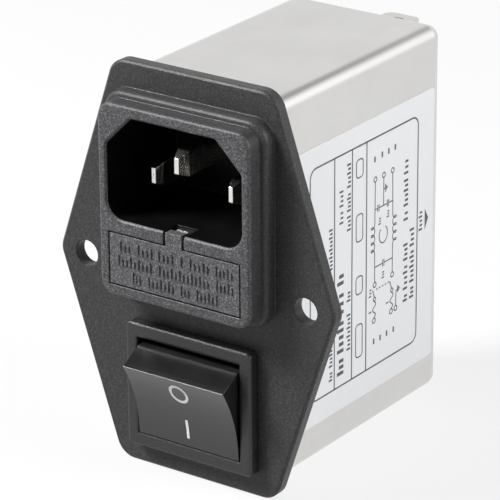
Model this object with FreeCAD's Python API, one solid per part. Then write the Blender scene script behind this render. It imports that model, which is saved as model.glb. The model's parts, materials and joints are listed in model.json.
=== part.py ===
import FreeCAD, Part
import math
import os

# Filtered power entry module, in millimetres.
# The origin lies midway between the two screw holes, on the back face of the panel flange.
# +X is to the right seen from the front, +Y runs back into the cabinet and +Z is up.

V = FreeCAD.Vector
X_AXIS = V(1, 0, 0)
Y_AXIS = V(0, 1, 0)
Z_AXIS = V(0, 0, 1)
SIDES = {"live": -1, "neutral": 1}
CUT_OVERRUN = 1.0

# How finely rounds are cut: steps in a rounded edge, chords in a bend, sides of a wire, steps in a coil
EDGE_STEPS = 3
BEND_CHORDS = 3
WIRE_SIDES = 6
COIL_STEPS = 8
MITRED = 1
SAME_PLACE = 1e-6

# Panel flange
flange_half_width = 25.15
flange_end_half_width = 14.4
flange_overhang = 2.2
flange_thickness = 2.0
flange_corner_r = 3.3
flange_tip_r = 3.0
flange_chamfer = 0.35
screw_pitch = 40.0
screw_hole_r = 2.05

# Inlet cavity, a six-sided well with two bevelled top corners
inlet_half_width = 12.15
inlet_height = 16.25
inlet_bevel = 4.6
inlet_corner_r = 2.8
inlet_depth = 17.5
inlet_floor_thickness = 2.0
inlet_lip = 0.3
inlet_head_room = 3.05
shell_wall = 1.0

# Fuse drawer bay under the inlet
bay_half_width = 12.0
bay_height = 8.5
bay_ceiling = 2.0
bay_wall = 1.2
bay_switch_gap = 8.07

# Collar that frames the inlet and the drawer, with a lower ledge round its foot
collar_rise = 4.95
collar_side_rim = 1.49
collar_top_rim = 1.8
collar_bottom_rim = 1.75
collar_corner_r = 2.4
collar_edge_r = 0.5
ledge_rise = 2.2
ledge_margin = 1.0
ledge_edge_r = 0.8

# Shield can and the spigot that it slides over
can_depth = 44.0
can_wall = 0.5
can_edge_r = 2.0
can_rear_r = 1.8
spigot_length = 6.0
spigot_clearance = 0.1

# Inlet pins
pin_width = 2.0
pin_height = 4.0
pin_tip_width = 0.7
pin_tip_height = 2.4
pin_tip_length = 1.9
line_pin_pitch = 14.0
line_pin_height = 6.18
earth_pin_height = 10.28
line_pin_setback = 4.7
earth_pin_setback = 1.0
pin_tail_height = 2.4
pin_tail_length = 4.5

# Fuses, two side by side, lengthwise in the drawer
fuse_pitch = 12.0
fuse_length = 20.0
fuse_cap_r = 2.6
fuse_cap_length = 5.0
fuse_cap_wall = 0.18
fuse_glass_wall = 0.5
fuse_fit = 0.02
fuse_wire_r = 0.12

# Fuse drawer
drawer_gap = 0.25
drawer_plate_thickness = 2.2
drawer_floor_gap = 0.1
drawer_rib_gap = 0.3
drawer_end_gap = 0.2
drawer_side_inset = 0.2
drawer_rear_wall = 1.2
drawer_rear_wall_drop = 2.6
drawer_rib_drop = 1.2
drawer_rear_clearance = 0.5
tab_half_width = 1.46
tab_gap = 0.44
tab_thickness = 1.4
pocket_depth = 3.5
ramp_half_width = 1.0
ramp_low = 0.5
ramp_high = 0.2
ramp_rear_gap = 1.0

# Fuse contact springs
contact_thickness = 0.35
contact_height = 2.4
contact_gap = 0.15
contact_split = 0.3
contact_nose = 2.0
contact_heel = 2.5
contact_lift = 0.6
contact_tail = 3.4

# Rocker switch
bezel_rise = 1.9
bezel_side = 1.98
bezel_end = 2.1
bezel_corner_r = 0.8
bezel_edge_r = 0.25
rocker_half_width = 9.2
rocker_side_gap = 0.28
rocker_end_gap = 0.2
rocker_edge_radius = 8.4
rocker_half_angle = 49.6
rocker_tilt = 17.4
rocker_face_sag = 0.9
rocker_wall = 1.2
rocker_skirt_radius = 7.4
rocker_skirt_start_angle = 88.0
rocker_skirt_end_angle = 100.0
pivot_setback = 3.25
trunnion_r = 1.2
trunnion_reach = 0.7
trunnion_clearance = 0.05
switch_wall = 1.1
switch_end_wall = 1.0
switch_foot_room = 1.07
switch_aperture_gap = 0.1
switch_floor_depth = 10.4
switch_floor_thickness = 2.5
switch_barrier_half = 0.5
switch_barrier_height = 3.0
latch_depth = 3.0
latch_rise = 0.6
latch_half_height = 2.5
latch_gap = 0.15

# Switch contacts, one pole each side
pole_pitch = 9.6
post_r = 2.2
post_bore_r = 1.3
post_bottom = 2.4
post_bore_top = 2.0
plunger_clearance = 0.1
plunger_head = 0.6
plunger_tip_r = 0.4
plunger_tip_length = 1.2
plunger_tip = 4.2
plunger_gap = 0.1
spring_wire_r = 0.15
spring_clearance = 0.2
spring_turns = 3
spring_seat = 0.05
bar_thickness = 0.65
bar_half_width = 1.4
bar_half_length = 4.6
bar_rise_angle = 14.0
bar_swing = 8.0
bar_pivot_gap = 0.1
bar_contact_at = 4.2
closed_contact_gap = 0.15
terminal_width = 4.8
terminal_thickness = 0.8
terminal_reach = 8.0
terminal_ear_gap = 0.2
terminal_ear_width = 0.8
terminal_ear_height = 1.0
contact_tip_width = 1.8
contact_tip_height = 0.5

# Rear terminals
tab_width = 6.4
tab_sheet = 0.8
tab_reach = 11.0
tab_corner_r = 1.6
tab_hole_r = 1.15
tab_hole_from_tip = 2.8
earth_tab_drop = 4.4
earth_tab_leg = 8.0
terminal_block_z = -6.0
terminal_block_half_width = 5.0
terminal_block_half_height = 11.0
terminal_block_lip = 1.0
terminal_block_lip_thickness = 1.2
terminal_block_inside = 3.0
terminal_block_corner_r = 1.0
terminal_pitch = 14.0
tab_tail_width = 3.0

# Rating label on the can's right side
label_thickness = 0.08
label_front_margin = 3.7
label_rear_margin = 2.1
label_foot_margin = 5.9
label_head_margin = 9.5
label_corner_r = 0.8

# Filter board and its components
board_setback = 8.0
board_thickness = 1.6
board_gap = 0.2
board_end_gap = 1.75
board_slot_gap = 0.05
choke_z = -2.0
choke_leg_pitch = 15.0
choke_half_height = 11.0
choke_limb = 4.0
choke_fit = 0.1
bobbin_wall = 0.5
bobbin_flange = 0.8
bobbin_base = 1.2
winding_depth = 1.4
winding_fit = 0.05
winding_corner_r = 1.0
winding_drop = 0.2
x_cap_width = 18.0
x_cap_lead_gap = 1.55
x_cap_height = 9.0
x_cap_end_gap = 6.75
x_cap_edge_r = 0.8
y_cap_r = 4.2
y_cap_thickness = 3.0
y_cap_pitch = 13.0
y_cap_end_gap = 8.75
y_cap_board_gap = 1.0
component_lead_r = 0.3
component_lead_pitch = 5.0
resistor_r = 1.3
resistor_length = 6.5
resistor_end_gap = 3.55
resistor_stand = 2.4
resistor_lead_half = 5.5

# Earth strap between the earth pin and the can
strap_half_width = 2.0
strap_thickness = 0.5
strap_foot = 1.6
strap_run = 6.5

# Insulated leads
lead_r = 0.9
lead_bend_r = 1.5
lead_bay_gap = 1.1
fuse_lead_x = 8.5
filter_lead_drop = 6.1
filter_lead_run = 5.0

# Places worked out from the sizes above
face_y = -flange_thickness - collar_rise
bezel_y = -flange_thickness - bezel_rise
pivot_y = bezel_y + pivot_setback
pressed_angle = math.radians(rocker_half_angle + rocker_tilt)
rocker_dish_y = pivot_y - rocker_edge_radius * math.cos(math.radians(rocker_half_angle)) + rocker_face_sag
opening_half_width = rocker_half_width + rocker_side_gap
opening_half_height = rocker_edge_radius * math.sin(pressed_angle) + rocker_end_gap
switch_half_width = opening_half_width + switch_wall
switch_half_height = opening_half_height + switch_end_wall

# The inlet, the drawer bay and the switch stand one over the other, and the can is made to hold them
upper_stack = inlet_head_room + inlet_height + bay_ceiling + bay_height
lower_stack = bay_switch_gap + 2 * switch_half_height + switch_foot_room
stack_half_height = (upper_stack + lower_stack) / 2
spigot_half_height = stack_half_height + shell_wall
can_inner_half_height = spigot_half_height + spigot_clearance
can_half_height = can_inner_half_height + can_wall
flange_half_height = can_half_height + flange_overhang
inlet_top = stack_half_height - inlet_head_room
inlet_bottom = inlet_top - inlet_height
bay_top = inlet_bottom - bay_ceiling
bay_bottom = bay_top - bay_height
switch_z = switch_foot_room + switch_half_height - stack_half_height
pivot = V(0, pivot_y, switch_z)

inlet_floor_y = face_y + inlet_depth
inlet_rear_y = inlet_floor_y + inlet_floor_thickness
spigot_half_width = inlet_half_width + shell_wall
can_half_width = spigot_half_width + spigot_clearance + can_wall
collar_half_width = inlet_half_width + collar_side_rim
collar_top = inlet_top + collar_top_rim
collar_bottom = bay_bottom - collar_bottom_rim
line_pin_z = inlet_bottom + line_pin_height
earth_pin_z = inlet_bottom + earth_pin_height
pin_tail_y = inlet_rear_y + pin_tail_length
fuse_x = fuse_pitch / 2
fuse_z = bay_bottom + bay_height / 2
drawer_plate_rear = face_y + drawer_plate_thickness
fuse_front_y = drawer_plate_rear + drawer_end_gap
fuse_rear_y = fuse_front_y + fuse_length
drawer_rear_y = fuse_rear_y + drawer_end_gap + drawer_rear_wall
bay_rear_y = drawer_rear_y + drawer_rear_clearance
bay_end_y = bay_rear_y + bay_wall
contact_tail_y = bay_end_y + contact_tail
switch_floor_y = bezel_y + switch_floor_depth
switch_rear_y = switch_floor_y + switch_floor_thickness
pole_x = pole_pitch / 2
bar_y = pivot_y + plunger_tip + plunger_gap + bar_thickness
terminal_tip_y = switch_rear_y + terminal_reach
can_inner_rear_y = can_depth - can_wall
earth_tab_z = can_half_height - earth_tab_drop
label_rear = can_depth - label_rear_margin
label_bottom = label_foot_margin - can_half_height
label_top = can_half_height - label_head_margin
board_y = can_depth - board_setback
board_half_width = spigot_half_width + spigot_clearance - board_gap
board_half_height = can_inner_half_height - board_end_gap
x_cap_bottom = board_half_height - x_cap_end_gap - x_cap_height
y_cap_z = y_cap_end_gap - board_half_height
resistor_z = board_half_height - resistor_end_gap
choke_leg_x = choke_leg_pitch / 2
spool_half = choke_limb / 2 + choke_fit + bobbin_wall
spool_flange_half = spool_half + winding_depth
spool_half_length = choke_half_height - choke_limb - choke_fit
choke_y = board_y - bobbin_base - spool_flange_half
lead_y = bay_end_y + lead_bay_gap + lead_r
x_cap_front_y = lead_y + lead_r + x_cap_lead_gap


def block(x0, x1, y0, y1, z0, z1):
    """Box between two corners."""
    return Part.makeBox(x1 - x0, y1 - y0, z1 - z0, V(x0, y0, z0))


def rounded_wire(points, radii):
    """Closed wire through the points, each corner rounded by its own radius."""
    arcs = []
    for i, corner in enumerate(points):
        before = (points[i - 1] - corner).normalize()
        after = (points[(i + 1) % len(points)] - corner).normalize()
        half = before.getAngle(after) / 2
        bisector = (before + after).normalize()
        reach = radii[i] / math.tan(half)
        middle = corner + bisector * (radii[i] / math.sin(half) - radii[i])
        arcs.append((corner + before * reach, middle, corner + after * reach))
    edges = []
    for i, (start, middle, end) in enumerate(arcs):
        if radii[i]:
            edges.append(Part.Arc(start, middle, end).toShape())
        following = arcs[(i + 1) % len(arcs)][0]
        edges.append(Part.LineSegment(end, following).toShape())
    return Part.Wire(edges)


def upright_prism(points, radii, y0, y1):
    """Prism along Y from an outline of (x, z) points."""
    wire = rounded_wire([V(x, y0, z) for x, z in points], radii)
    return Part.Face(wire).extrude(V(0, y1 - y0, 0))


def rectangle(half_width, bottom, top):
    """Corners of an upright rectangle centred on x = 0, as (x, z) points."""
    return [
        (-half_width, bottom),
        (half_width, bottom),
        (half_width, top),
        (-half_width, top),
    ]


def rounded_slab(half_width, bottom, top, radius, y0, y1):
    """Upright slab with four rounded corners."""
    return upright_prism(rectangle(half_width, bottom, top), [radius] * 4, y0, y1)


def eased_slab(half_width, bottom, top, radius, y0, y1, edge_r, steps=EDGE_STEPS):
    """Upright slab with rounded corners, whose edge at y0 follows a quarter round in a few steps."""
    levels = [(0, y1)]
    for step in range(steps, -1, -1):
        turn = math.pi / 2 * step / steps
        depth = edge_r * (1 - math.cos(turn))
        levels.append((edge_r * (1 - math.sin(turn)), y0 + math.copysign(depth, y1 - y0)))
    wires = []
    for inset, y in levels:
        corners = rectangle(half_width - inset, bottom + inset, top - inset)
        wires.append(rounded_wire([V(x, y, z) for x, z in corners], [radius - inset] * 4))
    return Part.makeLoft(wires, True, True)


def edges_at(shape, y):
    """Edges that lie wholly in the plane of the given y."""
    return [
        edge
        for edge in shape.Edges
        if max(abs(edge.BoundBox.YMin - y), abs(edge.BoundBox.YMax - y)) < SAME_PLACE
    ]


def strip_outline(path, thickness):
    """Corners of a bent strip of even thickness, from its middle line."""
    normals = []
    for (a0, b0), (a1, b1) in zip(path, path[1:]):
        run = math.hypot(a1 - a0, b1 - b0)
        normals.append(((b0 - b1) / run, (a1 - a0) / run))
    left = []
    right = []
    for i, (a, b) in enumerate(path):
        before = normals[max(i - 1, 0)]
        after = normals[min(i, len(normals) - 1)]
        na = (before[0] + after[0]) / 2
        nb = (before[1] + after[1]) / 2
        offset = thickness / 2 / (na * na + nb * nb)
        left.append((a + na * offset, b + nb * offset))
        right.append((a - na * offset, b - nb * offset))
    return left + right[::-1]


def polygon_prism(points, direction):
    """Straight prism from a closed outline of 3-D points."""
    return Part.Face(Part.makePolygon(points + points[:1])).extrude(direction)


def flat_strip(path, thickness, z0, z1):
    """Strip bent in plan: the path holds (x, y) points of its middle line."""
    points = [V(x, y, z0) for x, y in strip_outline(path, thickness)]
    return polygon_prism(points, V(0, 0, z1 - z0))


def side_strip(path, thickness, x0, x1):
    """Strip bent in side view: the path holds (y, z) points of its middle line."""
    points = [V(x0, y, z) for y, z in strip_outline(path, thickness)]
    return polygon_prism(points, V(x1 - x0, 0, 0))


def wire_run(points, radius):
    """Wire along straight stretches with mitred joints."""
    along = points[1] - points[0]
    across = along.cross(Z_AXIS if along.cross(X_AXIS).Length < SAME_PLACE else X_AXIS).normalize()
    corners = []
    for i in range(WIRE_SIDES + 1):
        turn = FreeCAD.Rotation(along, 360 * i / WIRE_SIDES)
        corners.append(points[0] + turn.multVec(across) * radius)
    return Part.makePolygon(points).makePipeShell([Part.makePolygon(corners)], True, False, MITRED)


def lead(points, radius, bend_r):
    """Wire whose corners are bent round in arcs of a few chords."""
    path = [points[0]]
    for before, corner, after in zip(points, points[1:], points[2:]):
        back = (before - corner).normalize()
        onward = (after - corner).normalize()
        half = back.getAngle(onward) / 2
        reach = bend_r / math.tan(half)
        middle = corner + (back + onward).normalize() * (bend_r / math.sin(half) - bend_r)
        arc = Part.Arc(corner + back * reach, middle, corner + onward * reach)
        path += arc.toShape().discretize(BEND_CHORDS + 1)
    return wire_run(path + points[-1:], radius)


def inlet_outline(grow):
    """Outline of the inlet cavity as (x, z) points, moved outward by grow."""
    half = inlet_half_width + grow
    bottom = inlet_bottom - grow
    top = inlet_top + grow
    bevel = inlet_bevel + grow * (2 - math.sqrt(2))
    points = [
        (-half, bottom),
        (half, bottom),
        (half, top - bevel),
        (half - bevel, top),
        (bevel - half, top),
        (-half, top - bevel),
    ]
    radius = inlet_corner_r + grow
    return points, [radius, radius, shell_wall, shell_wall, shell_wall, shell_wall]


def flange_plate():
    """Six-sided plate, widest at the screw holes."""
    points = [
        (-flange_end_half_width, -flange_half_height),
        (flange_end_half_width, -flange_half_height),
        (flange_half_width, 0),
        (flange_end_half_width, flange_half_height),
        (-flange_end_half_width, flange_half_height),
        (-flange_half_width, 0),
    ]
    radii = [flange_corner_r, flange_corner_r, flange_tip_r] * 2
    plate = upright_prism(points, radii, -flange_thickness, 0)
    return plate.makeChamfer(flange_chamfer, edges_at(plate, -flange_thickness))


def collar_step(margin, rise, edge_r):
    """One step of the collar, with its front edge rounded."""
    return eased_slab(
        collar_half_width + margin,
        collar_bottom - margin,
        collar_top + margin,
        collar_corner_r + margin,
        -flange_thickness - rise,
        0,
        edge_r,
    )


def pin_places():
    """Centre and tip setback of each inlet pin."""
    places = {
        name: (side * line_pin_pitch / 2, line_pin_z, line_pin_setback)
        for name, side in SIDES.items()
    }
    places["earth"] = (0, earth_pin_z, earth_pin_setback)
    return places


def contact_levels(place):
    """Bottom and top of a contact spring: the front ones lie above the rear ones."""
    if place == "front":
        bottom = fuse_z + contact_split / 2
    else:
        bottom = fuse_z - contact_split / 2 - contact_height
    return bottom, bottom + contact_height


def front_housing():
    """Moulding of flange, collar, inlet well, drawer bay and can spigot."""
    spigot = rounded_slab(
        spigot_half_width,
        -spigot_half_height,
        spigot_half_height,
        can_edge_r - can_wall - spigot_clearance,
        -flange_thickness / 2,
        spigot_length,
    )
    spigot_core = block(
        -inlet_half_width,
        inlet_half_width,
        0,
        spigot_length + CUT_OVERRUN,
        shell_wall - spigot_half_height,
        spigot_half_height - shell_wall,
    )
    points, radii = inlet_outline(shell_wall)
    well = upright_prism(points, radii, -flange_thickness / 2, inlet_rear_y)
    bay = block(
        -spigot_half_width,
        spigot_half_width,
        -flange_thickness / 2,
        bay_end_y,
        bay_bottom - bay_wall,
        bay_top + bay_wall,
    )
    collar = collar_step(0, collar_rise, collar_edge_r)
    ledge = collar_step(ledge_margin, ledge_rise, ledge_edge_r)
    body = flange_plate().fuse([ledge, collar])
    body = body.fuse([spigot.cut(spigot_core), well, bay])
    return body.cut(housing_cuts()).removeSplitter()


def housing_cuts():
    """Everything that is hollow in the front housing."""
    before = face_y - CUT_OVERRUN
    points, radii = inlet_outline(0)
    cuts = [upright_prism(points, radii, before, inlet_floor_y)]
    lip_wires = []
    for grow, y in ((inlet_lip, face_y), (0, face_y + inlet_lip)):
        points, radii = inlet_outline(grow)
        lip_wires.append(rounded_wire([V(x, y, z) for x, z in points], radii))
    cuts.append(Part.makeLoft(lip_wires, True, True))
    cuts.append(block(-bay_half_width, bay_half_width, before, bay_rear_y, bay_bottom, bay_top))
    notch = tab_half_width + tab_gap
    cuts.append(block(-notch, notch, before, face_y + pocket_depth, bay_top, inlet_bottom + bay_ceiling))
    for side in SIDES.values():
        foot = V(side * screw_pitch / 2, -flange_thickness - CUT_OVERRUN, 0)
        length = flange_thickness + 2 * CUT_OVERRUN
        cuts.append(Part.makeCylinder(screw_hole_r, length, foot, Y_AXIS))
        wall = side * bay_half_width
        inner = wall - side * contact_thickness
        for place in ("front", "rear"):
            bottom, top = contact_levels(place)
            cuts.append(
                block(min(wall, inner), max(wall, inner), bay_rear_y, bay_end_y + CUT_OVERRUN, bottom, top)
            )
    aperture_width = switch_half_width + switch_aperture_gap
    aperture_height = switch_half_height + switch_aperture_gap
    cuts.append(
        block(
            -aperture_width,
            aperture_width,
            -flange_thickness - CUT_OVERRUN,
            CUT_OVERRUN,
            switch_z - aperture_height,
            switch_z + aperture_height,
        )
    )
    for x, z, _ in pin_places().values():
        cuts.append(pin_bar(x, z, pin_width, pin_height, inlet_floor_y, inlet_rear_y))
    return cuts


def pin_bar(x, z, width, height, y0, y1):
    """Straight bar along Y, centred on x and z."""
    return block(x - width / 2, x + width / 2, y0, y1, z - height / 2, z + height / 2)


def inlet_pin(x, z, setback):
    """Blade pin with a tapered tip and a narrower solder tail."""
    tip_y = face_y + setback
    shoulder_y = tip_y + pin_tip_length
    tip = Part.makeWedge(
        x - pin_tip_width / 2,
        tip_y,
        z - pin_tip_height / 2,
        z - pin_height / 2,
        x - pin_width / 2,
        x + pin_tip_width / 2,
        shoulder_y,
        z + pin_tip_height / 2,
        z + pin_height / 2,
        x + pin_width / 2,
    )
    blade = pin_bar(x, z, pin_width, pin_height, shoulder_y, inlet_rear_y)
    tail = pin_bar(x, z, pin_width, pin_tail_height, inlet_rear_y, pin_tail_y)
    return tip.fuse([blade, tail]).removeSplitter()


def fuse_drawer():
    """Drawer front with its finger tab, and the tray that carries the fuses."""
    half_width = bay_half_width - drawer_gap
    bottom = bay_bottom + drawer_gap
    top = bay_top - drawer_gap
    plate = block(-half_width, half_width, face_y, drawer_plate_rear, bottom, top)
    tab = block(-tab_half_width, tab_half_width, face_y, face_y + tab_thickness, top, inlet_bottom)
    ramp_rear = face_y + pocket_depth - ramp_rear_gap
    ramp_points = [
        V(-ramp_half_width, face_y + tab_thickness, top),
        V(-ramp_half_width, face_y + tab_thickness, inlet_bottom - ramp_low),
        V(-ramp_half_width, ramp_rear, inlet_bottom - ramp_high),
        V(-ramp_half_width, ramp_rear, top),
    ]
    ramp = polygon_prism(ramp_points, V(2 * ramp_half_width, 0, 0))
    tray_half = fuse_x + fuse_cap_r - drawer_side_inset
    rib_half = fuse_x - fuse_cap_r - drawer_rib_gap
    floor_top = fuse_z - fuse_cap_r - drawer_floor_gap
    floor = block(-tray_half, tray_half, drawer_plate_rear, drawer_rear_y, bottom, floor_top)
    rib = block(-rib_half, rib_half, drawer_plate_rear, drawer_rear_y, floor_top, top - drawer_rib_drop)
    rear = block(
        -tray_half,
        tray_half,
        drawer_rear_y - drawer_rear_wall,
        drawer_rear_y,
        floor_top,
        top - drawer_rear_wall_drop,
    )
    return plate.fuse([tab, ramp, floor, rib, rear]).removeSplitter()


def fuse_cap(x, end_y, inward):
    """Metal cup on one end of a fuse; inward is +1 at the front end and -1 at the rear."""
    direction = Y_AXIS * inward
    cup = Part.makeCylinder(fuse_cap_r, fuse_cap_length, V(x, end_y, fuse_z), direction)
    hollow_start = V(x, end_y + inward * fuse_cap_wall, fuse_z)
    hollow = Part.makeCylinder(fuse_cap_r - fuse_cap_wall, fuse_cap_length, hollow_start, direction)
    return cup.cut(hollow)


def fuse_tube(x):
    """Glass tube between the end caps."""
    outer_r = fuse_cap_r - fuse_cap_wall - fuse_fit
    inset = fuse_cap_wall + fuse_fit
    start = V(x, fuse_front_y + inset, fuse_z)
    length = fuse_length - 2 * inset
    outer = Part.makeCylinder(outer_r, length, start, Y_AXIS)
    return outer.cut(Part.makeCylinder(outer_r - fuse_glass_wall, length, start, Y_AXIS))


def fuse_element(x):
    """Wire along the middle of a fuse."""
    ends = (fuse_front_y + fuse_cap_wall, fuse_rear_y - fuse_cap_wall)
    return wire_run([V(x, y, fuse_z) for y in ends], fuse_wire_r)


def fuse_contact(side, place):
    """Bowed leaf that presses on the outer side of a fuse cap."""
    if place == "front":
        bow_y = fuse_front_y + fuse_cap_length / 2
    else:
        bow_y = fuse_rear_y - fuse_cap_length / 2
    wall_x = bay_half_width - contact_thickness / 2
    bow_x = fuse_x + fuse_cap_r + contact_gap + contact_thickness / 2
    path = [
        (side * (wall_x - contact_lift), bow_y - contact_nose),
        (side * bow_x, bow_y),
        (side * wall_x, bow_y + contact_heel),
        (side * wall_x, contact_tail_y),
    ]
    bottom, top = contact_levels(place)
    return flat_strip(path, contact_thickness, bottom, top)


def switch_body():
    """Bezel and box of the rocker switch, with snap latches behind the flange."""
    bezel = eased_slab(
        opening_half_width + bezel_side,
        switch_z - opening_half_height - bezel_end,
        switch_z + opening_half_height + bezel_end,
        bezel_corner_r,
        bezel_y,
        -flange_thickness,
        bezel_edge_r,
    )
    low = switch_z - switch_half_height
    high = switch_z + switch_half_height
    box = block(-switch_half_width, switch_half_width, -flange_thickness, switch_rear_y, low, high)
    cavity = block(
        -opening_half_width,
        opening_half_width,
        bezel_y - CUT_OVERRUN,
        switch_floor_y,
        switch_z - opening_half_height,
        switch_z + opening_half_height,
    )
    bore_r = trunnion_r + trunnion_clearance
    bore_start = pivot - X_AXIS * (switch_half_width + CUT_OVERRUN)
    bore = Part.makeCylinder(bore_r, 2 * (switch_half_width + CUT_OVERRUN), bore_start, X_AXIS)
    body = bezel.fuse([box] + [switch_latch(side) for side in SIDES.values()])
    body = body.cut([cavity, bore])
    barrier = block(
        -switch_barrier_half,
        switch_barrier_half,
        switch_floor_y - switch_barrier_height,
        switch_floor_y,
        switch_z - opening_half_height,
        switch_z + opening_half_height,
    )
    slots = []
    for side in SIDES.values():
        for z in (switch_z, end_contact_place()[1]):
            slots.append(
                pin_bar(side * pole_x, z, terminal_width, terminal_thickness, switch_floor_y, switch_rear_y)
            )
    return body.fuse(barrier).cut(slots).removeSplitter()


def switch_latch(side):
    """Wedge that snaps behind the flange."""
    root = side * switch_half_width
    z0 = switch_z - latch_half_height
    points = [
        V(root, latch_gap, z0),
        V(root + side * latch_rise, latch_gap, z0),
        V(root, latch_gap + latch_depth, z0),
    ]
    return polygon_prism(points, V(0, 0, 2 * latch_half_height))


def rocker_point(radius, angle):
    """Point of the level rocker, by its distance and angle from the pivot."""
    turn = math.radians(angle)
    return V(0, pivot_y - radius * math.cos(turn), switch_z + radius * math.sin(turn))


def tilted(shape):
    """Turn a piece of the rocker from level to its rest, with the lower end pressed in."""
    turned = shape.copy()
    turned.rotate(pivot, X_AXIS, rocker_tilt)
    return turned


def rocker_profile():
    """Side view of the level rocker: dished face, end walls and curved skirts."""
    edge_top = rocker_point(rocker_edge_radius, rocker_half_angle)
    edge_bottom = rocker_point(rocker_edge_radius, -rocker_half_angle)
    dish = V(0, rocker_dish_y, switch_z)
    skirt_middle = (rocker_skirt_start_angle + rocker_skirt_end_angle) / 2
    skirt = [
        [rocker_point(rocker_skirt_radius, sign * angle) for angle in angles]
        for sign, angles in (
            (1, (rocker_skirt_start_angle, skirt_middle, rocker_skirt_end_angle)),
            (-1, (rocker_skirt_end_angle, skirt_middle, rocker_skirt_start_angle)),
        )
    ]
    edges = [
        Part.Arc(edge_bottom, dish, edge_top).toShape(),
        Part.LineSegment(edge_top, skirt[0][0]).toShape(),
        Part.Arc(*skirt[0]).toShape(),
        Part.LineSegment(skirt[0][2], skirt[1][0]).toShape(),
        Part.Arc(*skirt[1]).toShape(),
        Part.LineSegment(skirt[1][2], edge_bottom).toShape(),
    ]
    return Part.Face(Part.Wire(edges))


def rocker():
    """Hollow rocker with trunnions and a bored post over each pole."""
    profile = rocker_profile()
    shell = profile.extrude(V(2 * rocker_half_width, 0, 0))
    shell.translate(V(-rocker_half_width, 0, 0))
    hollow_half = rocker_half_width - rocker_wall
    hollow = profile.makeOffset2D(-rocker_wall).extrude(V(2 * hollow_half, 0, 0))
    hollow.translate(V(-hollow_half, 0, 0))
    open_back = hollow.copy()
    open_back.translate(V(0, rocker_wall + CUT_OVERRUN, 0))
    additions = []
    bores = []
    post_root_y = rocker_dish_y + rocker_wall / 2
    for side in SIDES.values():
        start = V(side * rocker_half_width, pivot_y, switch_z)
        length = rocker_side_gap + trunnion_reach
        additions.append(Part.makeCylinder(trunnion_r, length, start, X_AXIS * side))
        foot = V(side * pole_x, pivot_y + post_bottom, switch_z)
        additions.append(Part.makeCylinder(post_r, foot.y - post_root_y, foot, -Y_AXIS))
        bores.append(Part.makeCylinder(post_bore_r, post_bottom + post_bore_top, foot, -Y_AXIS))
    body = shell.cut([hollow, open_back]).fuse(additions)
    return tilted(body.cut(bores).removeSplitter())


def plunger(side):
    """Pin with a tapered nose that slides in a rocker post."""
    stem_r = post_bore_r - plunger_clearance
    head = V(side * pole_x, pivot_y + plunger_head, switch_z)
    neck = V(side * pole_x, pivot_y + plunger_tip - plunger_tip_length, switch_z)
    stem = Part.makeCylinder(stem_r, neck.y - head.y, head, Y_AXIS)
    nose = Part.makeCone(stem_r, plunger_tip_r, plunger_tip_length, neck, Y_AXIS)
    return tilted(stem.fuse(nose))


def plunger_spring(side):
    """Coil spring between the floor of the post's bore and the plunger's head."""
    coil_r = post_bore_r - spring_clearance - spring_wire_r
    clear = spring_seat + spring_wire_r
    start_y = pivot_y - post_bore_top + clear
    length = post_bore_top + plunger_head - 2 * clear
    steps = spring_turns * COIL_STEPS
    points = []
    for step in range(steps + 1):
        turn = 2 * math.pi * step / COIL_STEPS
        x = side * pole_x + coil_r * math.cos(turn)
        points.append(V(x, start_y + length * step / steps, switch_z + coil_r * math.sin(turn)))
    return tilted(wire_run(points, spring_wire_r))


def bar_place(along, height):
    """Point (y, z) on the contact bar at rest, from its pivot."""
    swing = math.radians(bar_swing)
    y = bar_y - height * math.cos(swing) + along * math.sin(swing)
    z = switch_z + height * math.sin(swing) + along * math.cos(swing)
    return y, z


def end_contact_place():
    """Point (y, z) on the underside of the closed end of the contact bar."""
    rise = bar_contact_at * math.tan(math.radians(bar_rise_angle))
    return bar_place(bar_contact_at, rise)


def contact_bar(side):
    """See-saw bar in a shallow V, rocked by the plunger."""
    slope = math.tan(math.radians(bar_rise_angle))
    outline = [
        bar_place(along, abs(along) * slope + height)
        for height, order in ((0, (-1, 0, 1)), (bar_thickness, (1, 0, -1)))
        for along in (sign * bar_half_length for sign in order)
    ]
    x0 = side * pole_x - bar_half_width
    return polygon_prism([V(x0, y, z) for y, z in outline], V(2 * bar_half_width, 0, 0))


def common_terminal(side):
    """Middle terminal with a cradle in which the contact bar rocks."""
    top_y = bar_y + bar_pivot_gap
    blade = pin_bar(side * pole_x, switch_z, terminal_width, terminal_thickness, top_y, terminal_tip_y)
    ears = []
    ear_middle = bar_half_width + terminal_ear_gap + terminal_ear_width / 2
    for way in SIDES.values():
        x = side * pole_x + way * ear_middle
        ears.append(
            pin_bar(x, switch_z, terminal_ear_width, terminal_thickness, top_y - terminal_ear_height, top_y)
        )
    return blade.fuse(ears).removeSplitter()


def switched_terminal(side):
    """End terminal with a contact tip under the closed end of the bar."""
    contact_y, z = end_contact_place()
    tip_y = contact_y + closed_contact_gap
    top_y = tip_y + contact_tip_height
    blade = pin_bar(side * pole_x, z, terminal_width, terminal_thickness, top_y, terminal_tip_y)
    tip = pin_bar(side * pole_x, z, contact_tip_width, contact_tip_width, tip_y, top_y)
    return blade.fuse(tip).removeSplitter()


def shield_can():
    """Drawn steel can, open to the front, with a terminal window at the rear."""
    outer = can_form(0, 0, EDGE_STEPS)
    inner = can_form(can_wall, -CUT_OVERRUN, 1)
    window = terminal_block_slab(0, can_inner_rear_y - CUT_OVERRUN, can_depth + CUT_OVERRUN)
    return outer.cut([inner, window])


def can_form(inset, front_y, steps):
    """Solid block of the can from front_y back, moved inward by inset on every closed side."""
    return eased_slab(
        can_half_width - inset,
        inset - can_half_height,
        can_half_height - inset,
        can_edge_r - inset,
        can_depth - inset,
        front_y,
        can_rear_r - inset,
        steps,
    )


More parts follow.
